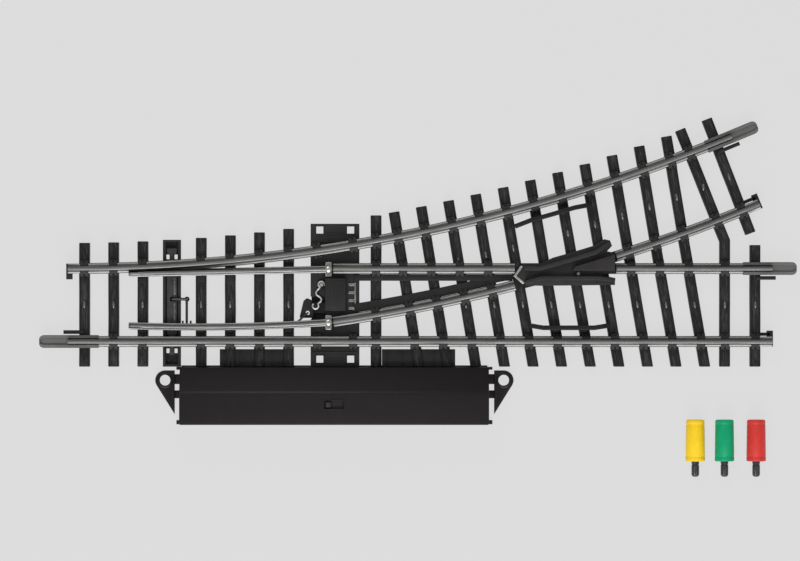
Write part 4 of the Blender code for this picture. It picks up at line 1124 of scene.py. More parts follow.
def make_fixed_rails():
    heel_end = HEEL_X + 1.15
    inner_end, _ = branch_end_point(INNER_RADIUS)
    outer_end, _ = branch_end_point(OUTER_RADIUS)
    paths = {
        "straight_stock_rail": [(0.0, -HALF_GAUGE), (STRAIGHT_LENGTH, -HALF_GAUGE)],
        "curved_stock_rail": arc_path(INNER_RADIUS, 0.0, inner_end.x),
        "straight_closure_rail": [(heel_end, HALF_GAUGE), (FROG_START - 0.3, HALF_GAUGE)],
        "curved_closure_rail": arc_path(OUTER_RADIUS, heel_end, FROG_START - 0.3),
        "straight_exit_rail": [(FROG_END + 0.3, HALF_GAUGE), (STRAIGHT_LENGTH, HALF_GAUGE)],
        "curved_exit_rail": arc_path(OUTER_RADIUS, FROG_END + 0.3, outer_end.x),
    }
    for name, path in paths.items():
        shape = bmesh.new()
        add_sweep(shape, path, rail_section(), RAIL_BASE)
        piece(name + "_steel", shape, "rail", [name])


def joiner_section():
    """A folded sheet channel that wraps the rail foot."""
    inner, thick, rise, lip = FOOT_HALF + 0.12, 0.22, 0.75, 0.75
    outer = inner + thick
    right = [
        (outer - 0.1, 0.0),
        (outer, 0.1),
        (outer, rise + thick - 0.12),
        (outer - 0.12, rise + thick),
        (lip + 0.05, rise + thick),
        (lip, rise + thick - 0.05),
        (lip, rise),
        (inner - 0.06, rise),
        (inner, rise - 0.06),
        (inner, thick),
    ]
    return mirrored(right)


def rounded_joiner(outer_end_first):
    """Rounds the joiner in plan towards the end that reaches out to the next track."""
    radius = 1.25

    def shape_at(section, distance, length):
        ahead = distance if outer_end_first else length - distance
        if ahead >= radius:
            return section
        pull = radius - math.sqrt(max(0.0, radius ** 2 - (radius - ahead) ** 2))
        return [(math.copysign(max(0.12, abs(a) - pull * 0.8), a), b) for a, b in section]

    return shape_at


def make_rail_joiners():
    base = SLEEPER_TOP + 0.05
    end, along = branch_end_point(INNER_RADIUS)
    paths = {
        "toe_rail_joiner": ([(-6.9, -HALF_GAUGE), (7.4, -HALF_GAUGE)], True),
        "straight_rail_joiner": ([(161.9, HALF_GAUGE), (STRAIGHT_LENGTH + 5.9, HALF_GAUGE)], False),
        "branch_rail_joiner": ([tuple(end - along * 6.5), tuple(end + along * 6.7)], False),
    }
    for name, (path, first) in paths.items():
        shape = bmesh.new()
        add_sweep(shape, path, joiner_section(), base, 0.25, 0.03, rounded_joiner(first))
        piece(name + "_sheet", shape, "joiner", [name])


def blade_path(heel, tip, bulge):
    heel_point, tip_point = Vector(heel), Vector(tip)
    along = heel_point - tip_point
    normal = left_of(along).normalized()
    count = 16
    path = []
    for i in range(count + 1):
        share = i / count
        path.append(tuple(tip_point + along * share - normal * (4 * bulge * share * (1 - share))))
    return path


def make_blade(name, heel, tip, bulge, stock_side):
    """A blade with a planed and lowered tip, its heel eye and the peg under it."""
    height = BLADE_TOP - BLADE_BASE
    section = rail_section(BLADE_FOOT_HALF, 0.3, BLADE_HEAD_HALF, height)
    low_tip = 0.35
    tip_run = 4.0

    def planed(outline, distance, length):
        limit = PLANE_DEPTH + distance * math.tan(PLANE_ANGLE)
        drop = low_tip * max(0.0, 1 - distance / tip_run)
        changed = []
        for across, up in outline:
            outwards = -across * stock_side
            if up > 0.6 and outwards > limit:
                across = -limit * stock_side
            if up > height - 0.5:
                up -= drop
            changed.append((across, up))
        return changed

    path = blade_path(heel, tip, bulge)
    shape = bmesh.new()
    path[-1] = tuple(Vector(path[-1]).lerp(Vector(path[-2]), 0.2))
    add_sweep(shape, path, section, BLADE_BASE, 1.0, 0.05, planed)
    low, high = SLEEPER_TOP + 0.2, RAIL_TOP - 0.18
    eye = [(0.52, low), (0.9, low), (0.95, low + 0.06), (0.95, high - 0.08), (0.87, high)]
    eye += [(0.52, high), (0.52, low)]
    add_lathe(shape, eye, (*heel, 0.0), segments=28)
    share = (TIE_X - tip[0]) / (heel[0] - tip[0])
    peg_y = tip[1] + (heel[1] - tip[1]) * share - 4 * bulge * share * (1 - share)
    peg = [(0.0, 1.5), (0.36, 1.5), (0.42, 1.58), (0.42, BLADE_BASE + 0.3), (0.0, BLADE_BASE + 0.3)]
    add_lathe(shape, peg, (TIE_X, peg_y, 0.0), segments=20)
    piece(name + "_steel", shape, "blade", [name], body=name)


def make_blades():
    make_blade("straight_blade", (HEEL_X, STRAIGHT_HEEL_Y), (TIP_X, STRAIGHT_TIP_Y), 0.0, 1)
    make_blade("curved_blade", (HEEL_X, CURVED_HEEL_Y), (TIP_X, CURVED_TIP_Y), BLADE_BULGE, -1)


def make_heel_pins():
    """Rivets with domed heads over the blade eyes."""
    for name, y in (("straight_heel_pin", STRAIGHT_HEEL_Y), ("curved_heel_pin", CURVED_HEEL_Y)):
        top = RAIL_TOP - 0.16
        profile = [(0.0, SKIN_BOTTOM + 0.1), (0.38, SKIN_BOTTOM + 0.1), (0.38, top), (0.72, top)]
        profile += [(0.72, top + 0.06), (0.6, top + 0.15), (0.38, top + 0.22), (0.0, top + 0.26)]
        shape = bmesh.new()
        add_lathe(shape, profile, (HEEL_X, y, 0.0), segments=28)
        piece(name + "_rivet", shape, "spring", [name])


# ---------------------------------------------------------------- frog and guard rails

def make_frog():
    """Base, wing rails and nose with soft moulded edges, a bright strip before them and a stud."""
    straight_wing_y = HALF_GAUGE - HEAD_HALF - FLANGEWAY - WING_HALF
    wing_radius = OUTER_RADIUS - HEAD_HALF - FLANGEWAY - WING_HALF
    lower_knee = math.sqrt(OUTER_RADIUS ** 2 - (BRANCH_RADIUS - straight_wing_y) ** 2)
    upper_knee = math.sqrt(wing_radius ** 2 - (BRANCH_RADIUS - HALF_GAUGE) ** 2)
    upper_path = [(FROG_START + 1.9, HALF_GAUGE)] + arc_path(wing_radius, upper_knee, 126.6)
    upper_path.append((129.9, arc_y(wing_radius, 129.9) + 1.2))
    lower_path = arc_path(OUTER_RADIUS, FROG_START + 2.2, lower_knee)
    lower_path += [(127.5, straight_wing_y), (FROG_END, straight_wing_y - 0.5)]
    nose_low = HALF_GAUGE - HEAD_HALF
    nose_radius = OUTER_RADIUS - HEAD_HALF
    nose_tip = 121.0
    nose = [(nose_tip, nose_low), (FROG_END, nose_low)]
    nose += arc_path(nose_radius, nose_tip + 0.6, FROG_END)[::-1]
    point = [(FROG_START + 2.5, 4.7), (FROG_START - 0.1, 6.9), (FROG_START + 1.7, 9.9)]
    upper_side = [(upper_knee, 9.9)] + arc_path(wing_radius - 1.7, upper_knee + 3.0, 126.0)
    flare = [(128.6, 15.8), (130.0, 15.5), (130.5, 14.2), (129.3, 12.9), (FROG_END, 12.5)]
    slit = [(FROG_END, 7.9), (128.2, 7.1), (FROG_END, 6.5)]
    base = point + upper_side + flare + slit + [(FROG_END, 4.8), (lower_knee, 4.6)]
    floor = point + upper_side + [(127.4, 4.8), (lower_knee, 4.6)]
    wing = rounded_section(WING_HALF, 0.0, RAIL_TOP - RAIL_BASE - 0.3, 0.16)
    shape = bmesh.new()
    add_plate(shape, [base], (RAIL_BASE, RAIL_BASE + 0.75), 0.12)
    add_sweep(shape, upper_path, wing, RAIL_BASE + 0.3)
    add_sweep(shape, lower_path, wing, RAIL_BASE + 0.3)
    add_plate(shape, [nose], (RAIL_BASE + 0.3, RAIL_TOP), 0.16, 3)
    add_plate(shape, [inset_outline(floor[::-1], 0.45)], (RAIL_BASE + 0.6, RAIL_BASE + 0.84), 0.06)
    piece("frog_casting", shape, "frog", ["frog"])
    bridge = bmesh.new()
    strip = rounded_section(0.32, 0.0, 0.4, 0.1)
    corner = [(FROG_START + 1.4, 9.3), (FROG_START - 0.3, 6.95), (FROG_START + 1.9, 5.2)]
    add_sweep(bridge, corner, strip, RAIL_BASE + 0.7)
    piece("frog_bridge", bridge, "spring")
    stud = bmesh.new()
    level = RAIL_BASE + 0.8
    profile = [(0.0, level), (0.5, level), (0.5, level + 0.9), (0.4, level + 1.05), (0.0, level + 1.1)]
    add_lathe(stud, profile, (122.4, 7.55, 0.0), segments=20)
    piece("frog_stud", stud, "stud")


def make_guard_rails():
    """Check rails with flared ends, on small brackets over the sleepers."""
    radius = INNER_RADIUS + GUARD_OFFSET
    middle = arc_path(radius, 111.0, 121.5)
    start = (107.2, arc_y(radius, 107.2) - 0.45)
    finish = (125.3, arc_y(radius, 125.3) - 0.45)
    level = -HALF_GAUGE + GUARD_OFFSET - 0.1
    paths = {
        "upper_guard_rail": [start] + middle + [finish],
        "lower_guard_rail": [(110.4, level + 0.6), (114.0, level), (126.2, level), (130.0, level + 0.6)],
    }
    lines = {"upper_guard_rail": lambda x: arc_y(radius, x), "lower_guard_rail": lambda x: level}
    section = rounded_section(0.56, 0.0, RAIL_TOP - 0.1 - RAIL_BASE, 0.18)
    for name, path in paths.items():
        shape = bmesh.new()
        add_sweep(shape, path, section, RAIL_BASE)
        for sleeper in sleeper_layout():
            found = crossing(sleeper, lines[name])
            if found and path[0][0] + 0.6 < found[0] < path[-1][0] - 0.6:
                angle = math.asin(found[0] / radius) if name.startswith("upper") else 0.0
                foot = turned_rectangle(found, angle, 1.7, 1.7)
                add_plate(shape, [foot], (SLEEPER_TOP - 0.15, RAIL_BASE + 0.35), 0.08)
        piece(name + "_moulded", shape, "guard", [name])


# ---------------------------------------------------------------- linkage

def make_tie_bar():
    """The bar in the wide sleeper: a plate between the rails, narrow under them, T ends outside."""
    share = (TIE_X - TIP_X) / (HEEL_X - TIP_X)
    straight_peg = STRAIGHT_TIP_Y + (STRAIGHT_HEEL_Y - STRAIGHT_TIP_Y) * share
    curved_peg = CURVED_TIP_Y + (CURVED_HEEL_Y - CURVED_TIP_Y) * share
    curved_peg -= 4 * BLADE_BULGE * share * (1 - share)
    stem = 0.5
    x = TIE_X
    right = [
        (TIE_HALF, -6.9), (TIE_HALF, 8.7), (TIE_HALF - 0.35, 9.1), (stem, 9.1), (stem, 11.9),
        (TIE_HALF, 12.5), (TIE_HALF, 13.6),
    ]
    lower = [(stem, -12.0), (stem, -7.3), (TIE_HALF - 0.3, -7.3)]
    outline = [(x + a, b) for a, b in lower + right] + [(x - a, b) for a, b in reversed(lower + right)]
    slot_y = CRANK_PIVOT[1]
    holes = [circle((x, straight_peg), 0.6, 20), circle((x, curved_peg), 0.6, 20)]
    holes.append(rectangle((x - 0.42, x + 0.95), (slot_y - 0.45, slot_y + 0.45)))
    shape = bmesh.new()
    add_plate(shape, [outline] + holes, (1.3, 2.22), 0.1)
    piece("tie_bar_moulded", shape, "tie", ["tie_bar"], body="tie_bar")
    strip = bmesh.new()
    for low, high in ((2.4, 6.4), (-4.3, 0.5)):
        add_block(strip, (x + 0.45, x + 0.85), (low, high), (2.15, 2.29), 0.04)
    piece("tie_bar_contact", strip, "stud", body="tie_bar")


def make_crank():
    pivot_x, pivot_y = CRANK_PIVOT
    level = WIRE_LEVEL
    corner = ring_points((pivot_x - 0.35, pivot_y - 0.35), 0.35, 90, 0, 4)
    path = [(TIE_X, pivot_y, 1.5), (TIE_X, pivot_y, level - 0.15), (TIE_X + 0.15, pivot_y, level)]
    path += [(x, y, level) for x, y in corner] + [(pivot_x, pivot_y - CRANK_LONG - 0.5, level)]
    shape = bmesh.new()
    add_wire(shape, path, 0.31)
    post = [(0.0, 0.4), (0.31, 0.4), (0.31, level + 0.1), (0.28, level + 0.26)]
    post += [(0.16, level + 0.34), (0.0, level + 0.36)]
    add_lathe(shape, post, (pivot_x, pivot_y, 0.0), segments=20)
    piece("crank_wire", shape, "dark_steel", ["crank"], body="crank")


def make_push_rod():
    fork_x = CRANK_PIVOT[0]
    lane, reach = -5.1, -3.75
    eye_x, eye_y = SLIDE_EYE
    level = WIRE_LEVEL
    rod = [(fork_x + 0.8, lane, level), (53.4, lane, level), (54.0, lane + 0.15, level)]
    rod += [(eye_x - 0.3, eye_y - 0.3, level), (eye_x, eye_y, level - 0.15), (eye_x, eye_y, 1.2)]
    fork = [(fork_x - 0.95, reach, level), (fork_x - 0.95, lane + 0.4, level), (fork_x - 0.6, lane, level)]
    fork += [(fork_x + 0.6, lane, level), (fork_x + 0.95, lane + 0.4, level), (fork_x + 0.95, reach, level)]
    shape = bmesh.new()
    add_wire(shape, rod, 0.24)
    add_wire(shape, fork, 0.24)
    piece("push_rod_wire", shape, "dark_steel", ["push_rod"], body="control_slide")


def make_control_slide():
    eye_x, eye_y = SLIDE_EYE
    head = [
        (eye_x - 2.0, eye_y - 1.2), (eye_x + 1.4, eye_y - 1.2), (eye_x + 1.4, eye_y + 1.6),
        (eye_x + 0.9, eye_y + 3.1), (eye_x - 0.2, eye_y + 3.6), (eye_x - 1.0, eye_y + 2.9),
    ]
    head = fillet_outline(head, [0.3, 0.3, 0.3, 0.6, 0.6, 0.6])
    shape = bmesh.new()
    add_plate(shape, [head, circle(SLIDE_EYE, 0.5)], (0.6, 2.3), 0.1)
    add_block(shape, (eye_x + 0.9, 64.0), (-2.0, 0.6), (0.65, 1.4), 0.06)
    arm = rectangle((ARM_X - 0.6, ARM_X + 0.6), (ARM_PIN_Y - 0.8, -1.5))
    add_plate(shape, [arm], (0.7, 1.35), 0.06)
    tongue = rectangle((eye_x + 0.5, SPRING_PIN[0] + 0.85), (-0.9, 0.5))
    add_plate(shape, [tongue], (1.0, 2.25), 0.08)
    pin = [(0.0, 2.0), (0.3, 2.0), (0.3, 3.2), (0.22, 3.3), (0.0, 3.3)]
    add_lathe(shape, pin, (*SPRING_PIN, 0.0), segments=20)
    drive_pin = [(0.0, 1.0), (0.5, 1.0), (0.5, 3.4), (0.4, 3.5), (0.0, 3.5)]
    add_lathe(shape, drive_pin, (ARM_X, ARM_PIN_Y, 0.0), segments=24)
    body = "control_slide"
    piece(body + "_moulded", shape, "black", [body], body=body)


def make_toggle_spring():
    loop = 0.72
    post_loop = ring_points(SPRING_POST, loop, -20, 250, 20)
    pin_loop = ring_points(SPRING_PIN, loop, 45, -225, 20)
    s_bend = [(59.75, 3.5), (59.45, 2.9), (59.75, 2.3), (60.55, 1.9), (60.9, 1.3), (60.55, 0.7)]
    corners = [post_loop[-1]] + s_bend + [pin_loop[0]]
    bend = []
    for i in range(1, len(corners) - 1):
        before, here, after = Vector(corners[i - 1]), Vector(corners[i]), Vector(corners[i + 1])
        start, end = before.lerp(here, 0.5), here.lerp(after, 0.5)
        for k in range(4):
            t = k / 4
            bend.append(bend_point(start, here, end, t))
    path = post_loop + bend + pin_loop
    shape = bmesh.new()
    add_wire(shape, [(x, y, WIRE_LEVEL + 0.05) for x, y in path], 0.28)
    body = "toggle_spring"
    piece(body + "_wire", shape, "toggle", [body], body=body)


def make_spring_post():
    profile = [(0.0, 1.2), (0.35, 1.2), (0.35, 3.2), (0.5, 3.22), (0.5, 3.36), (0.4, 3.46), (0.0, 3.5)]
    shape = bmesh.new()
    add_lathe(shape, profile, (*SPRING_POST, 0.0), segments=24)
    piece("spring_post_turned", shape, "spring", ["spring_post"])


def make_mechanism_cover():
    """The block over the slide: a hollow lid with a stepped top and finger ribs."""
    low, high = SLEEPER_TOP + 0.2, 4.3
    outer = rectangle((61.7, 66.6), (-1.4, 6.4))
    walls = [(61.8, 6.4), (61.8, 5.9), (66.0, 5.9), (66.0, -0.9)]
    walls += [(64.3, -0.9), (64.3, -1.4), (66.6, -1.4), (66.6, 6.4)]
    shape = bmesh.new()
    add_plate(shape, [outer], (high - 0.5, high - 0.08), 0.12)
    add_plate(shape, [walls], (low, high - 0.4), 0.04)
    add_block(shape, (61.8, 64.4), (-1.38, -0.92), (3.42, high - 0.4), 0.04)
    add_plate(shape, [inset_outline(outer, 0.55)], (high - 0.15, high), 0.06)
    for i in range(4):
        x = 62.9 + 0.83 * i
        add_block(shape, (x - 0.14, x + 0.14), (-0.3, 5.3), (high - 0.08, high + 0.07), 0.05)
    piece("mechanism_lid", shape, "black", ["mechanism_cover"])


# ---------------------------------------------------------------- drive

def drive_outline(inset, low, rounded):
    """Cross-section of the drive cover as (y, z), anticlockwise as seen from +x."""
    outline = [
        (DRIVE_FAR, low), (DRIVE_NEAR, low), (DRIVE_NEAR, SHOULDER_Z), (SHOULDER_Y, DRIVE_TOP),
        (DRIVE_FAR, DRIVE_TOP),
    ]
    drawn = inset_outline(outline, inset) if inset else outline
    drawn = [(y, max(z, low)) for y, z in drawn]
    return fillet_outline(drawn, [0, 0, 0.5, 1.6, 0.35] if rounded else [0, 0, 0.3, 1.2, 0.3], 6)


def add_drive_body(shape, half, inset, low, rounded=True):
    """The drive's section carried along x, drawn in softly at both ends."""
    rings = []
    ends = ((0.0, 0.32), (0.05, 0.18), (0.14, 0.07), (0.3, 0.0)) if rounded else ((0.0, 0.0),)
    places = [(DRIVE_X - half + d, extra) for d, extra in ends]
    places += [(DRIVE_X + half - d, extra) for d, extra in reversed(ends)]
    for x, extra in places:
        rings.append([(x, y, z) for y, z in drive_outline(inset + extra, low, rounded)])
    add_loft(shape, rings)


def make_drive_cover():
    shell = bmesh.new()
    add_drive_body(shell, DRIVE_HALF, 0.0, COVER_BOTTOM)
    cover = piece("drive_shell", shell, "drive", ["drive_cover"])
    hollow = bmesh.new()
    add_drive_body(hollow, DRIVE_HALF - DRIVE_WALL, DRIVE_WALL, COVER_BOTTOM - 0.5, False)
    cut_away(cover, hollow)
    slot = bmesh.new()
    add_plate(slot, [TAB_SLOT], (7.0, 10.2), 0.05)
    cut_away(cover, slot)
    door = bmesh.new()
    doorway = rectangle((ARM_X - 0.9, ARM_X + STROKE + 0.9), (DRIVE_NEAR - 1.5, DRIVE_NEAR + 0.5))
    add_plate(door, [doorway], (1.0, 1.9), 0.02)
    cut_away(cover, door)


def make_drive_details():
    """Screw bosses inside the cover and the rim of the tab's slot."""
    shape = bmesh.new()
    for place in SCREW_PLACES:
        ring = [(0.66, COVER_BOTTOM + 0.02), (1.3, COVER_BOTTOM + 0.02), (1.3, DRIVE_TOP - 0.5)]
        ring += [(0.66, DRIVE_TOP - 0.5), (0.66, COVER_BOTTOM + 0.02)]
        add_lathe(shape, ring, (*place, 0.0), segments=20)
    rim_outer = rectangle((ARM_X - 1.35, ARM_X + STROKE + 1.35), (-25.15, -22.45))
    add_plate(shape, [rim_outer, TAB_SLOT], (DRIVE_TOP - 0.1, DRIVE_TOP + 0.12), 0.05)
    piece("drive_shell_details", shape, "drive")


def ear_outline(side):
    """One screw ear: a round eye that runs out to a point along the drive."""
    eye = (DRIVE_X + side * EAR_OFFSET, EAR_Y)
    round_part = ring_points((EAR_OFFSET, EAR_Y), 2.35, 90, -33, 16)
    outline = [(DRIVE_HALF + 1.3, EAR_Y + 2.35)] + round_part + [(DRIVE_HALF + 1.3, -26.2)]
    return eye, [(DRIVE_X + side * x, y) for x, y in outline]


def make_drive_base():
    left, right = DRIVE_X - DRIVE_HALF, DRIVE_X + DRIVE_HALF
    arm_left, arm_right = ARM_X - 0.9, ARM_X + STROKE + 0.9
    arm_low = ARM_PIN_Y - 1.1
    screw_holes = [circle(place, 0.65, 16) for place in SCREW_PLACES]
    sinks = [circle(place, 1.25, 20) for place in SCREW_PLACES]
    floor = [
        (left, DRIVE_FAR), (right, DRIVE_FAR), (right, DRIVE_NEAR), (arm_right, DRIVE_NEAR),
        (arm_right, arm_low), (arm_left, arm_low), (arm_left, DRIVE_NEAR), (left, DRIVE_NEAR),
    ]
    sole = rectangle((left, right), (DRIVE_FAR, DRIVE_NEAR))
    shape = bmesh.new()
    add_plate(shape, [sole] + sinks, (0.0, 0.45), 0.06)
    add_plate(shape, [floor] + screw_holes, (0.43, BASE_TOP), 0.06)
    rims = bmesh.new()
    for side in (-1, 1):
        eye, outline = ear_outline(side)
        add_plate(shape, [outline, circle(eye, EAR_HOLE, 32)], (0.0, 2.0), 0.12)
        rim = [(EAR_HOLE, 1.8), (EAR_HOLE + 0.62, 1.8), (EAR_HOLE + 0.62, 2.12), (EAR_HOLE + 0.5, 2.2)]
        rim += [(EAR_HOLE + 0.1, 2.2), (EAR_HOLE, 2.1), (EAR_HOLE, 1.8)]
        add_lathe(rims, rim, (*eye, 0.0), segments=32)
        edge = DRIVE_X + side * DRIVE_HALF
        for low, high in ((-19.0, -16.6), (-22.4, -20.5)):
            bar = rectangle(sorted((edge - side, edge + side * 1.6)), (low, high))
            add_plate(shape, [bar], (0.1, 1.15), 0.08)
        for low, high in ((DRIVE_FAR, DRIVE_FAR + 1.0), (DRIVE_NEAR - 0.7, DRIVE_NEAR)):
            lip = rectangle(sorted((edge - side, edge + side * 0.9)), (low, high))
            add_plate(shape, [lip], (0.0, 1.1), 0.1)
        for end in (-1, 1):
            x = DRIVE_X + side * COIL_OFFSET + end * (COIL_HALF - 0.5)
            add_block(shape, (x - 0.5, x + 0.5), (-25.0, -22.2), (1.0, 1.85), 0.06)
    # A thin dark strip along the near edge, reaching between the sleeper ends: a painted shadow line where
    # they meet the drive.
    shadow_line_strip = rectangle((left + 0.3, right - 0.3), (DRIVE_NEAR - 0.3, SLEEPER_END + 0.3))
    add_plate(shape, [shadow_line_strip], (0.06, 0.42), 0.05)
    for x in (42.4, 49.4, 80.0, 87.6):
        add_block(shape, (x - 1.2, x + 1.2), (DRIVE_NEAR - 0.5, -11.4), (0.0, 0.5), 0.06)
    piece("drive_tray", shape, "drive", ["drive_base"])
    piece("ear_rims", rims, "drive")


def make_cover_screws():
    for name, place in zip(("left_cover_screw", "right_cover_screw"), SCREW_PLACES):
        profile = [(0.0, 0.15), (0.95, 0.15), (1.05, 0.25), (1.05, 0.55), (0.5, 0.56)]
        for i in range(9):
            z = 0.75 + 0.4 * i
            profile += [(0.42, z), (0.5, z + 0.2)]
        profile += [(0.42, 4.4), (0.0, 4.6)]
        shape = bmesh.new()
        add_lathe(shape, profile, (*place, 0.0), segments=24)
        screw = piece(name + "_threaded", shape, "dark_steel", [name])
        slot = bmesh.new()
        add_plate(slot, [around(place[0], place[1], 1.3, 0.14)], (-0.2, 0.36), 0.01)
        cut_away(screw, slot)


def make_coils():
    """Bobbins and windings with every turn of wire as a ridge."""
    for side, label in ((-1, "left"), (1, "right")):
        centre = (DRIVE_X + side * COIL_OFFSET, COIL_Y, COIL_Z)
        half = COIL_HALF
        spool = [
            (1.5, half), (2.8, half), (2.9, half - 0.1), (2.9, half - 0.7),
            (2.8, half - 0.8), (1.9, half - 0.8), (1.9, 0.8 - half), (2.8, 0.8 - half),
            (2.9, 0.7 - half), (2.9, 0.1 - half), (2.8, -half), (1.5, -half), (1.5, half),
        ]
        shape = bmesh.new()
        add_lathe(shape, spool, centre, (1, 0, 0), 36)
        piece(label + "_bobbin_moulded", shape, "grey_plastic",
              [label + "_coil_bobbin"])
        reach = half - 1.0
        turns = 36
        pitch = 2 * reach / turns
        wound = [(2.1, -reach)]
        for i in range(turns):
            start = -reach + pitch * i
            wound += [(2.6, start), (2.68, start + pitch * 0.3), (2.68, start + pitch * 0.7)]
        wound += [(2.6, reach), (2.1, reach), (2.1, -reach)]
        shape = bmesh.new()
        add_lathe(shape, wound, centre, (1, 0, 0), 36)
        piece(label + "_winding_wound", shape, "copper", [label + "_coil_winding"])


def make_drive_carrier():
    """The plunger, and the carrier on it with its hand tab."""
    y, z = COIL_Y, COIL_Z
    shape = bmesh.new()
    r = PLUNGER_RADIUS
    rod = [(0.0, -25.0), (r - 0.2, -25.0), (r, -24.8), (r, -4.2)]
    rod += [(r - 0.15, -4.1), (r - 0.15, -3.7), (r, -3.6)]
    rod += [(a, -b) for a, b in reversed(rod)]
    add_lathe(shape, rod, (ARM_X, y, z), (1, 0, 0), 36)
    piece("plunger_turned", shape, "dark_steel", ["plunger"], body="drive_carrier")
    shape = bmesh.new()
    left, right = ARM_X - 3.2, ARM_X + 3.2
    for low, high in ((y - 2.3, y - r - 0.12), (y + r + 0.12, y + 2.3)):
        add_block(shape, (left, right), (low, high), (z - 1.9, z + 2.2), 0.12)
    lid = rectangle((left + 0.1, right - 0.1), (y - 2.2, y + 2.2))
    for low, high in ((z + r + 0.12, z + 2.15), (z - 1.85, z - r - 0.12)):
        add_plate(shape, [lid], (low, high), 0.12)
    add_plate(shape, [rectangle((ARM_X - 1.4, ARM_X + 1.4), (y + 1.5, ARM_PIN_Y + 1.3)),
                      circle((ARM_X, ARM_PIN_Y), 0.7)], (z - 2.9, z - 1.4), 0.1)
    add_block(shape, (ARM_X - 1.3, ARM_X + 1.3), (y + 1.6, y + 2.25), (z - 2.6, z - 1.0), 0.06)
    tab = rectangle((ARM_X - 0.6, ARM_X + 0.6), (-24.4, -23.2))
    add_plate(shape, [tab], (z + 1.5, DRIVE_TOP + 0.3), 0.16, 3)
    inner_top = DRIVE_TOP - DRIVE_WALL
    shield = rectangle((ARM_X - STROKE - 1.3, ARM_X + STROKE + 1.3), (-25.3, -22.3))
    add_plate(shape, [shield], (inner_top - 0.35, inner_top - 0.1), 0.05)
    piece("drive_slide_moulded", shape, "slide", ["drive_slide"], body="drive_carrier")


def dress_hidden_nodes(nodes):
    """CAD nodes whose shape is right as it is: softened edges and a real material."""
    dressed = {
        "bottom_plate": "black",
        "left_end_contact": "brass",
        "right_end_contact": "brass",
        "common_terminal_tab": "brass",
        "left_terminal_tab": "brass",
        "right_terminal_tab": "brass",
    }
    for name, key in dressed.items():
        node = nodes[name]
        node.data.materials.clear()
        node.data.materials.append(LOOKS[key])
        weld = node.modifiers.new("Weld", "WELD")
        weld.merge_threshold = 1e-6
        bevel = node.modifiers.new("Soft edges", "BEVEL")
        bevel.width = 0.05 * MM
        bevel.segments = 2
        bevel.limit_method = "ANGLE"
        bevel.angle_limit = math.radians(35)


# ---------------------------------------------------------------- plugs

def make_plugs():
    """Sleeves with a shallow ring near each end, each on a contact pin with two grooves."""
    half = SLEEVE_LENGTH / 2
    r = SLEEVE_RADIUS
    rear = r - 0.12
    for colour, x in PLUG_CENTRES.items():
        centre = (x, PLUG_REAR_Y - half, r)
        profile = [
            (0.0, half - 5.0), (0.85, half - 5.0), (0.85, half - 0.35), (1.0, half - 0.1), (1.2, half),
            (rear - 0.4, half), (rear - 0.17, half - 0.06), (rear - 0.05, half - 0.25), (rear, half - 0.6),
            (rear, half - 0.95), (rear - 0.04, half - 1.03), (rear - 0.04, half - 1.2), (rear, half - 1.3),
            (r - 0.02, -half + 1.3), (r - 0.06, -half + 1.2), (r - 0.06, -half + 1.05), (r, -half + 0.95),
            (r, -half + 0.35), (r - 0.06, -half + 0.12), (r - 0.25, -half), (PIN_RADIUS + 0.25, -half),
            (PIN_RADIUS + 0.15, -half + 0.1), (PIN_RADIUS + 0.15, 3.2 - half), (0.0, 3.2 - half),
        ]
        shape = bmesh.new()
        add_lathe(shape, profile, centre, (0, 1, 0), 64)
        piece(colour + "_plug_moulded", shape, colour, [colour + "_plug_sleeve"])
        tip = -half - PIN_LENGTH
        shank = [
            (0.0, 3.0 - half), (PIN_RADIUS, 3.0 - half), (PIN_RADIUS, -half - 0.5),
            (PIN_RADIUS - 0.1, -half - 0.62), (PIN_RADIUS - 0.1, -half - 0.85),
            (PIN_RADIUS, -half - 0.97), (PIN_RADIUS, tip + 0.55),
            (PIN_RADIUS - 0.12, tip + 0.25), (PIN_RADIUS - 0.35, tip + 0.05), (0.35, tip), (0.0, tip),
        ]
        shape = bmesh.new()
        add_lathe(shape, shank, centre, (0, 1, 0), 40)
        pin = piece(colour + "_plug_contact", shape, "pin", [colour + "_plug_pin"])
        gap = rectangle((x - 0.11, x + 0.11), (centre[1] + tip - 0.5, centre[1] - half - 1.3))
        for levels in ((r + 0.25, r + 2.0), (r - 2.0, r - 0.25)):
            slot = bmesh.new()
            add_plate(slot, [gap], levels, 0.01)
            cut_away(pin, slot)


# ---------------------------------------------------------------- stage

def make_floor():
    """A large pale board that is lit mostly by its own glow, as on a light table."""
    mesh = bpy.data.meshes.new("floor")
    corners = around(0.0, 0.0, FLOOR_REACH, FLOOR_REACH)
    mesh.from_pydata([(x, y, 0.0) for x, y in corners], [], [(0, 1, 2, 3)])
    floor = add_object("floor", mesh)
    floor.location.z = -FLOOR_DROP
    n = Nodes("pale_floor")
    n.shader.inputs["Base Color"].default_value = (0.05, 0.05, 0.051, 1.0)
    n.shader.inputs["Roughness"].default_value = 0.9
    n.shader.inputs["Specular IOR Level"].default_value = 0.1
    n.shader.inputs["Emission Color"].default_value = (1.0, 0.995, 1.0, 1.0)
    n.shader.inputs["Emission Strength"].default_value = 0.67
    mesh.materials.append(n.material)


def make_light(name, location, size, power, target):
    data = bpy.data.lights.new(name, "AREA")
    data.shape = "RECTANGLE"
    data.size, data.size_y = size
    data.energy = power
    lamp = add_object(name, data)
    lamp.location = location
    lamp.rotation_euler = (Vector(target) - Vector(location)).to_track_quat("-Z", "Y").to_euler()


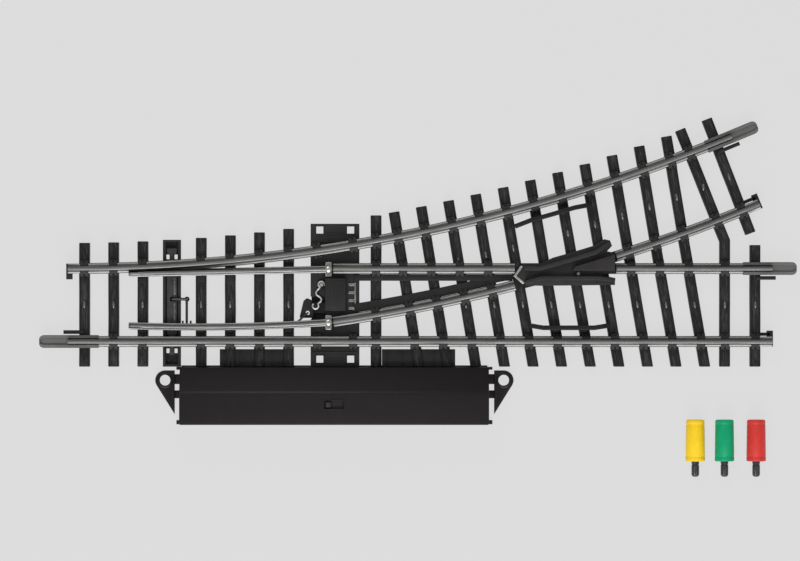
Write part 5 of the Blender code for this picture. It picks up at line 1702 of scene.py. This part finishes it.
def make_lights():
    """A pale surround, a broad box from the front and a weaker one from behind."""
    world = bpy.data.worlds.new("studio")
    bpy.context.scene.world = world
    world.use_nodes = True
    surround = world.node_tree.nodes["Background"]
    surround.inputs["Color"].default_value = (1.0, 1.0, 1.0, 1.0)
    surround.inputs["Strength"].default_value = 0.38
    make_light("front_box", (0.0, -0.75, 0.75), (0.9, 0.8), 9.8, (0.0, 0.0, 0.0))
    make_light("back_box", (-0.2, 0.7, 0.7), (0.5, 0.3), 2.2, (0.0, 0.0, 0.0))


def make_camera():
    """Straight above on a long lens, framed as the photograph is."""
    middle = TO_WORLD @ Vector((79.65, 5.88, SLEEPER_TOP))
    data = bpy.data.cameras.new("camera")
    data.sensor_width = SENSOR
    data.lens = LENS
    distance = FRAME_WIDTH * LENS / SENSOR
    data.clip_start, data.clip_end = 0.05, 20.0
    camera = add_object("camera", data)
    camera.location = middle + Vector((0.0, 0.0, distance))
    camera.rotation_euler = (0.0, 0.0, 0.0)
    bpy.context.scene.camera = camera


def make_model(nodes):
    """Every piece, always in the same order."""
    makers = (
        make_sleepers, make_tie_sleeper, make_rail_webs, make_flange_strips, make_chairs,
        make_slide_chairs, make_centre_studs, make_end_tabs, make_base_plate, make_heel_straps,
        make_fixed_rails, make_rail_joiners, make_blades, make_heel_pins, make_frog,
        make_guard_rails, make_tie_bar, make_crank, make_push_rod, make_control_slide,
        make_toggle_spring, make_spring_post, make_mechanism_cover, make_drive_cover,
        make_drive_details, make_drive_base, make_cover_screws, make_coils, make_drive_carrier,
    )
    for make in makers:
        make()
    dress_hidden_nodes(nodes)
    make_plugs()


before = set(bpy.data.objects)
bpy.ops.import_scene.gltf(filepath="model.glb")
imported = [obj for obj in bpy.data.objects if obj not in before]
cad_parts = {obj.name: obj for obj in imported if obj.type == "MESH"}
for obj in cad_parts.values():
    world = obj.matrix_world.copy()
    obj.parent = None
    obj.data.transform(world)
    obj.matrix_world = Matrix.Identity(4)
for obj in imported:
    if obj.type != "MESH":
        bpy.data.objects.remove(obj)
cad_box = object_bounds()
rail_corner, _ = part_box("straight_stock_rail")
ORIGIN = Vector((rail_corner.x, rail_corner.y + (HALF_GAUGE + FOOT_HALF) * MM, cad_box[0].z))
TO_WORLD = Matrix.Translation(ORIGIN) @ Matrix.Scale(MM, 4)

bpy.context.scene.view_settings.view_transform = "Standard"
LOOKS = make_materials()
make_model(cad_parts)
make_floor()
make_lights()
make_camera()
